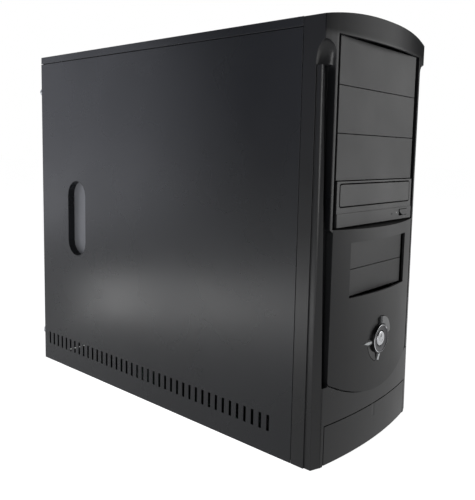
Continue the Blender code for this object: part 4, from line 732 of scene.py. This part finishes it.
class TOWER_OT_buttons(bpy.types.Operator):
    """Finish the ring, the power button and the two blades beside it"""

    bl_idname = "tower.buttons"
    bl_label = "Buttons"

    def execute(self, context):
        ring = dressed("power_ring", "case", "annulus", 0.15 * MM)
        self.bright_rim(ring)
        dressed("power_button", "power", "silver", 0.2 * MM)
        dressed("reset_button", "reset", "reset", 0.3 * MM)
        dressed("lower_blade", "case", "gloss", 0.3 * MM)
        for node in ("power_lamp", "disk_lamp"):
            dressed(node, "case", "lamp", 0.3 * MM)
        keep("button_board", "board")
        self.symbol()
        return {"FINISHED"}

    def bright_rim(self, ring):
        """Gives the ring's raised rim a brighter metal than its dished face."""
        ring.data.materials.append(material("line"))
        low, high = RING
        centre_x, centre_z, outer = (low.x + high.x) / 2, (low.z + high.z) / 2, (high.x - low.x) / 2
        for face in ring.data.polygons:
            reach = math.hypot(face.center.x - centre_x, face.center.z - centre_z)
            if outer - RIM_WIDTH < reach < outer - RIM_ROUNDING:
                face.material_index = 1

    def symbol(self):
        """The open circle and bar on the power button, each a thin raised line."""
        low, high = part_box("power_button")
        centre = Vector(((low.x + high.x) / 2, low.y + SYMBOL_SINK, (low.z + high.z) / 2))
        start = SYMBOL_RADIUS * Vector((math.sin(SYMBOL_GAP), 0, math.cos(SYMBOL_GAP)))
        arc = primitive("circle", "power_symbol_arc", vertices=10, radius=SYMBOL_LINE, fill_type="NGON",
                        location=centre + start, rotation=(0, SYMBOL_GAP, 0))
        settle(arc)
        bpy.ops.object.mode_set(mode="EDIT")
        bpy.ops.mesh.select_all(action="SELECT")
        sweep = 2 * math.pi - 2 * SYMBOL_GAP
        bpy.ops.mesh.spin(steps=28, angle=sweep, center=centre, axis=(0, 1, 0))
        bpy.ops.mesh.select_all(action="SELECT")
        bpy.ops.transform.resize(value=(1, 0.35, 1), center_override=centre)
        bpy.ops.mesh.normals_make_consistent(inside=False)
        bpy.ops.object.mode_set(mode="OBJECT")
        shade(arc, 50, False)
        paint_with(arc, "symbol")
        above, length = SYMBOL_STROKE
        stroke = bar("power_symbol_bar", centre + Vector((0, 0, above)),
                     (2 * SYMBOL_LINE, 0.6 * SYMBOL_LINE, length), "symbol", 0.12 * MM)
        fitted(grouped([arc, stroke], "power_symbol"), "power")


class TOWER_OT_rear(bpy.types.Operator):
    """Finish the fans, inlet, switch, ports, covers and screws at the rear"""

    bl_idname = "tower.rear"
    bl_label = "Rear fittings"

    def execute(self, context):
        for node, body, key, slot in (
            ("psu_grille", "case", "zinc", "zinc_steel"),
            ("psu_fan_rotor", "psu_fan", "bezel", "black_plastic"),
            ("exhaust_fan_rotor", "exhaust_fan", "bezel", "black_plastic"),
            ("exhaust_fan_frame", "case", "bezel", "black_plastic"),
            ("mains_inlet", "case", "shadow", "black_plastic"),
            ("psu_switch", "rocker", "gloss", "gloss_black"),
            ("rear_ports", "case", "silver", "silver_metal"),
        ):
            dressed(node, body, key, 0.2 * MM)
        for node in NODES:
            if node.startswith("slot_cover"):
                dressed(node, "case", "zinc", 0.2 * MM)
            if node.startswith("thumb_screw"):
                dressed(node, node.replace("thumb_screw", "screw"), "zinc", 0.25 * MM)
            if node.startswith("foot_"):
                dressed(node, "case", "rubber", 0.5 * MM, 3)
        self.screws()
        self.port_liners()
        return {"FINISHED"}

    def screws(self):
        """The supply's and the fan's screws, all copies of one small cross-head screw."""
        places = []
        for node, inset, drop in (("psu_case", SUPPLY_SCREW_INSET, SUPPLY_SCREW_DROP),
                                  ("exhaust_fan_frame", FAN_SCREW_INSET, FAN_SCREW_INSET)):
            low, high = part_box(node)
            for x in (low.x + inset, high.x - inset):
                for z in (low.z + inset, high.z - drop):
                    places.append(Vector((x, REAR_FACE - SCREW_SINK, z)))
        made = copies(cross_screw("rear_screw", *REAR_SCREW), places)
        fitted(grouped(made, "rear_screws"), "case")

    def port_liners(self):
        """Coloured plastic tongues standing in the rear port holes."""
        low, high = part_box("rear_ports")
        first = Vector((low.x + TONGUE_FIRST[0], high.y - TONGUE_BACK, low.z + TONGUE_FIRST[1]))
        for row, key in enumerate(("liner_green", "liner_blue", "liner_grey", "liner_violet")):
            tongues = []
            for column in (0, 1):
                centre = first + Vector((TONGUE_STEP[0] * column, 0, TONGUE_STEP[1] * row))
                tongues.append(bar("tongue", centre, TONGUE_SIZE, key, 0.3 * MM))
            fitted(grouped(tongues, f"port_tongues_{row + 1}"), "case")


class TOWER_OT_inside(bpy.types.Operator):
    """Finish the boards, cooler, disk and cables inside"""

    bl_idname = "tower.inside"
    bl_label = "Inside parts"

    def execute(self, context):
        for node in ("motherboard", "memory_module"):
            keep(node, "board")
        card = dressed("graphics_card", "case", "board", 0, clean=False)
        card.data.materials.append(material("zinc"))
        bracket_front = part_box("graphics_card")[1].y - BRACKET_THICK
        for face in card.data.polygons:
            if face.center.y > bracket_front:
                face.material_index = 1
        keep("cpu_heatsink", "silver")
        keep("cpu_fan_rotor", "bezel")
        keep("hard_disk", "silver")
        for node in ("board_power_cable", "drive_data_cable"):
            dressed(node, "case", "cable", 0)
        return {"FINISHED"}


def area_light(name, place, target, size, colour, power):
    """A softbox at this place that faces the target and that the camera doesn't see."""
    data = bpy.data.lights.new(name, "AREA")
    data.shape = "RECTANGLE"
    data.size, data.size_y = size
    data.energy = power
    data.color = colour
    obj = bpy.data.objects.new(name, data)
    bpy.context.scene.collection.objects.link(obj)
    obj.location = place
    obj.visible_camera = False
    obj.rotation_euler = (Vector(target) - Vector(place)).to_track_quat("-Z", "Y").to_euler()


def studio_world(air):
    """Dim air all round, and white where the camera looks past the floor."""
    world = bpy.data.worlds.new("studio")
    bpy.context.scene.world = world
    world.use_nodes = True
    tree = world.node_tree
    tree.nodes.clear()
    out = tree.nodes.new("ShaderNodeOutputWorld")
    seen = add(tree, "ShaderNodeBackground", Strength=1.0)
    seen.inputs["Color"].default_value = (1, 1, 1, 1)
    soft = add(tree, "ShaderNodeBackground", Strength=air)
    soft.inputs["Color"].default_value = (0.96, 0.98, 1.0, 1)
    path = tree.nodes.new("ShaderNodeLightPath")
    mix = tree.nodes.new("ShaderNodeMixShader")
    wire(tree, path.outputs["Is Camera Ray"], mix.inputs[0])
    wire(tree, soft.outputs[0], mix.inputs[1])
    wire(tree, seen.outputs[0], mix.inputs[2])
    wire(tree, mix.outputs[0], out.inputs["Surface"])


def studio_floor(glow_seen):
    """A pale floor that glows a little, with its brightness to the eye set apart from its light."""
    floor = primitive("plane", "studio_floor", size=FLOOR_SIZE, location=(0, 0, -FLOOR_DROP))
    settle(floor)
    floor_material, tree, shader, _ = blank("floor_white", 0.6, 0.0, 0.2)
    shader.inputs["Base Color"].default_value = (0.9, 0.9, 0.9, 1)
    glow = add(tree, "ShaderNodeEmission")
    glow.inputs["Color"].default_value = (1, 1, 1, 1)
    path = tree.nodes.new("ShaderNodeLightPath")
    wire(tree, spread(tree, path.outputs["Is Camera Ray"], 0, 1, FLOOR_BOUNCE, glow_seen),
         glow.inputs["Strength"])
    both = tree.nodes.new("ShaderNodeAddShader")
    wire(tree, shader.outputs[0], both.inputs[0])
    wire(tree, glow.outputs[0], both.inputs[1])
    wire(tree, both.outputs[0], tree.nodes["Material Output"].inputs["Surface"])
    floor.data.materials.append(floor_material)


def view_camera(settings):
    """The camera, turned by its yaw, pitch and roll."""
    camera = bpy.data.cameras.new("view_camera")
    camera.sensor_width = 36.0
    camera.lens = settings.lens
    camera.shift_x, camera.shift_y = settings.shift
    camera.clip_start = 0.01
    camera.clip_end = 100
    obj = bpy.data.objects.new("view_camera", camera)
    bpy.context.scene.collection.objects.link(obj)
    yaw, pitch, roll = settings.yaw, settings.pitch, settings.roll
    ahead = Vector((math.sin(yaw) * math.cos(pitch), math.cos(yaw) * math.cos(pitch), -math.sin(pitch)))
    right = Vector((math.cos(yaw), -math.sin(yaw), 0))
    upward = right.cross(ahead)
    side = right * math.cos(roll) + upward * math.sin(roll)
    top = -right * math.sin(roll) + upward * math.cos(roll)
    turn = Matrix((side, top, -ahead)).transposed().to_4x4()
    obj.matrix_world = Matrix.Translation(Vector(settings.place)) @ turn
    bpy.context.scene.camera = obj


class TOWER_OT_stage(bpy.types.Operator):
    """Set up the floor, the softboxes and the camera"""

    bl_idname = "tower.stage"
    bl_label = "Studio"

    def execute(self, context):
        settings = context.scene.tower_stage
        studio_floor(settings.floor_glow)
        studio_world(settings.air)
        for name, place, target, size, colour, power in SOFTBOXES:
            area_light(name, place, target, size, colour, getattr(settings, power))
        view_camera(settings)
        context.scene.view_settings.view_transform = "Standard"
        return {"FINISHED"}


class TOWER_PT_panel(bpy.types.Panel):
    """The sizes and colours that can be changed, and the buttons that dress the tower, in order"""

    bl_label = "Desktop tower"
    bl_idname = "TOWER_PT_panel"
    bl_space_type = "VIEW_3D"
    bl_region_type = "UI"
    bl_category = "Tower"

    def draw(self, context):
        for settings in (context.scene.tower_finish, context.scene.tower_stage):
            box = self.layout.box()
            for name in type(settings).__annotations__:
                box.prop(settings, name)
        for step in STEPS:
            self.layout.operator(step.bl_idname)


STEPS = (TOWER_OT_steel, TOWER_OT_front, TOWER_OT_drive, TOWER_OT_buttons, TOWER_OT_rear,
         TOWER_OT_inside, TOWER_OT_stage)
CLASSES = (TowerFinish, TowerStage, *STEPS, TOWER_PT_panel)


def register():
    """Adds the classes and their settings to Blender."""
    for cls in CLASSES:
        bpy.utils.register_class(cls)
    bpy.types.Scene.tower_finish = PointerProperty(type=TowerFinish)
    bpy.types.Scene.tower_stage = PointerProperty(type=TowerStage)


def unregister():
    """Takes the classes and their settings out again."""
    del bpy.types.Scene.tower_stage
    del bpy.types.Scene.tower_finish
    for cls in reversed(CLASSES):
        bpy.utils.unregister_class(cls)


def main():
    """Runs every step in order."""
    register()
    for step in STEPS:
        group, name = step.bl_idname.split(".")
        getattr(getattr(bpy.ops, group), name)()


if __name__ == "__main__":
    main()
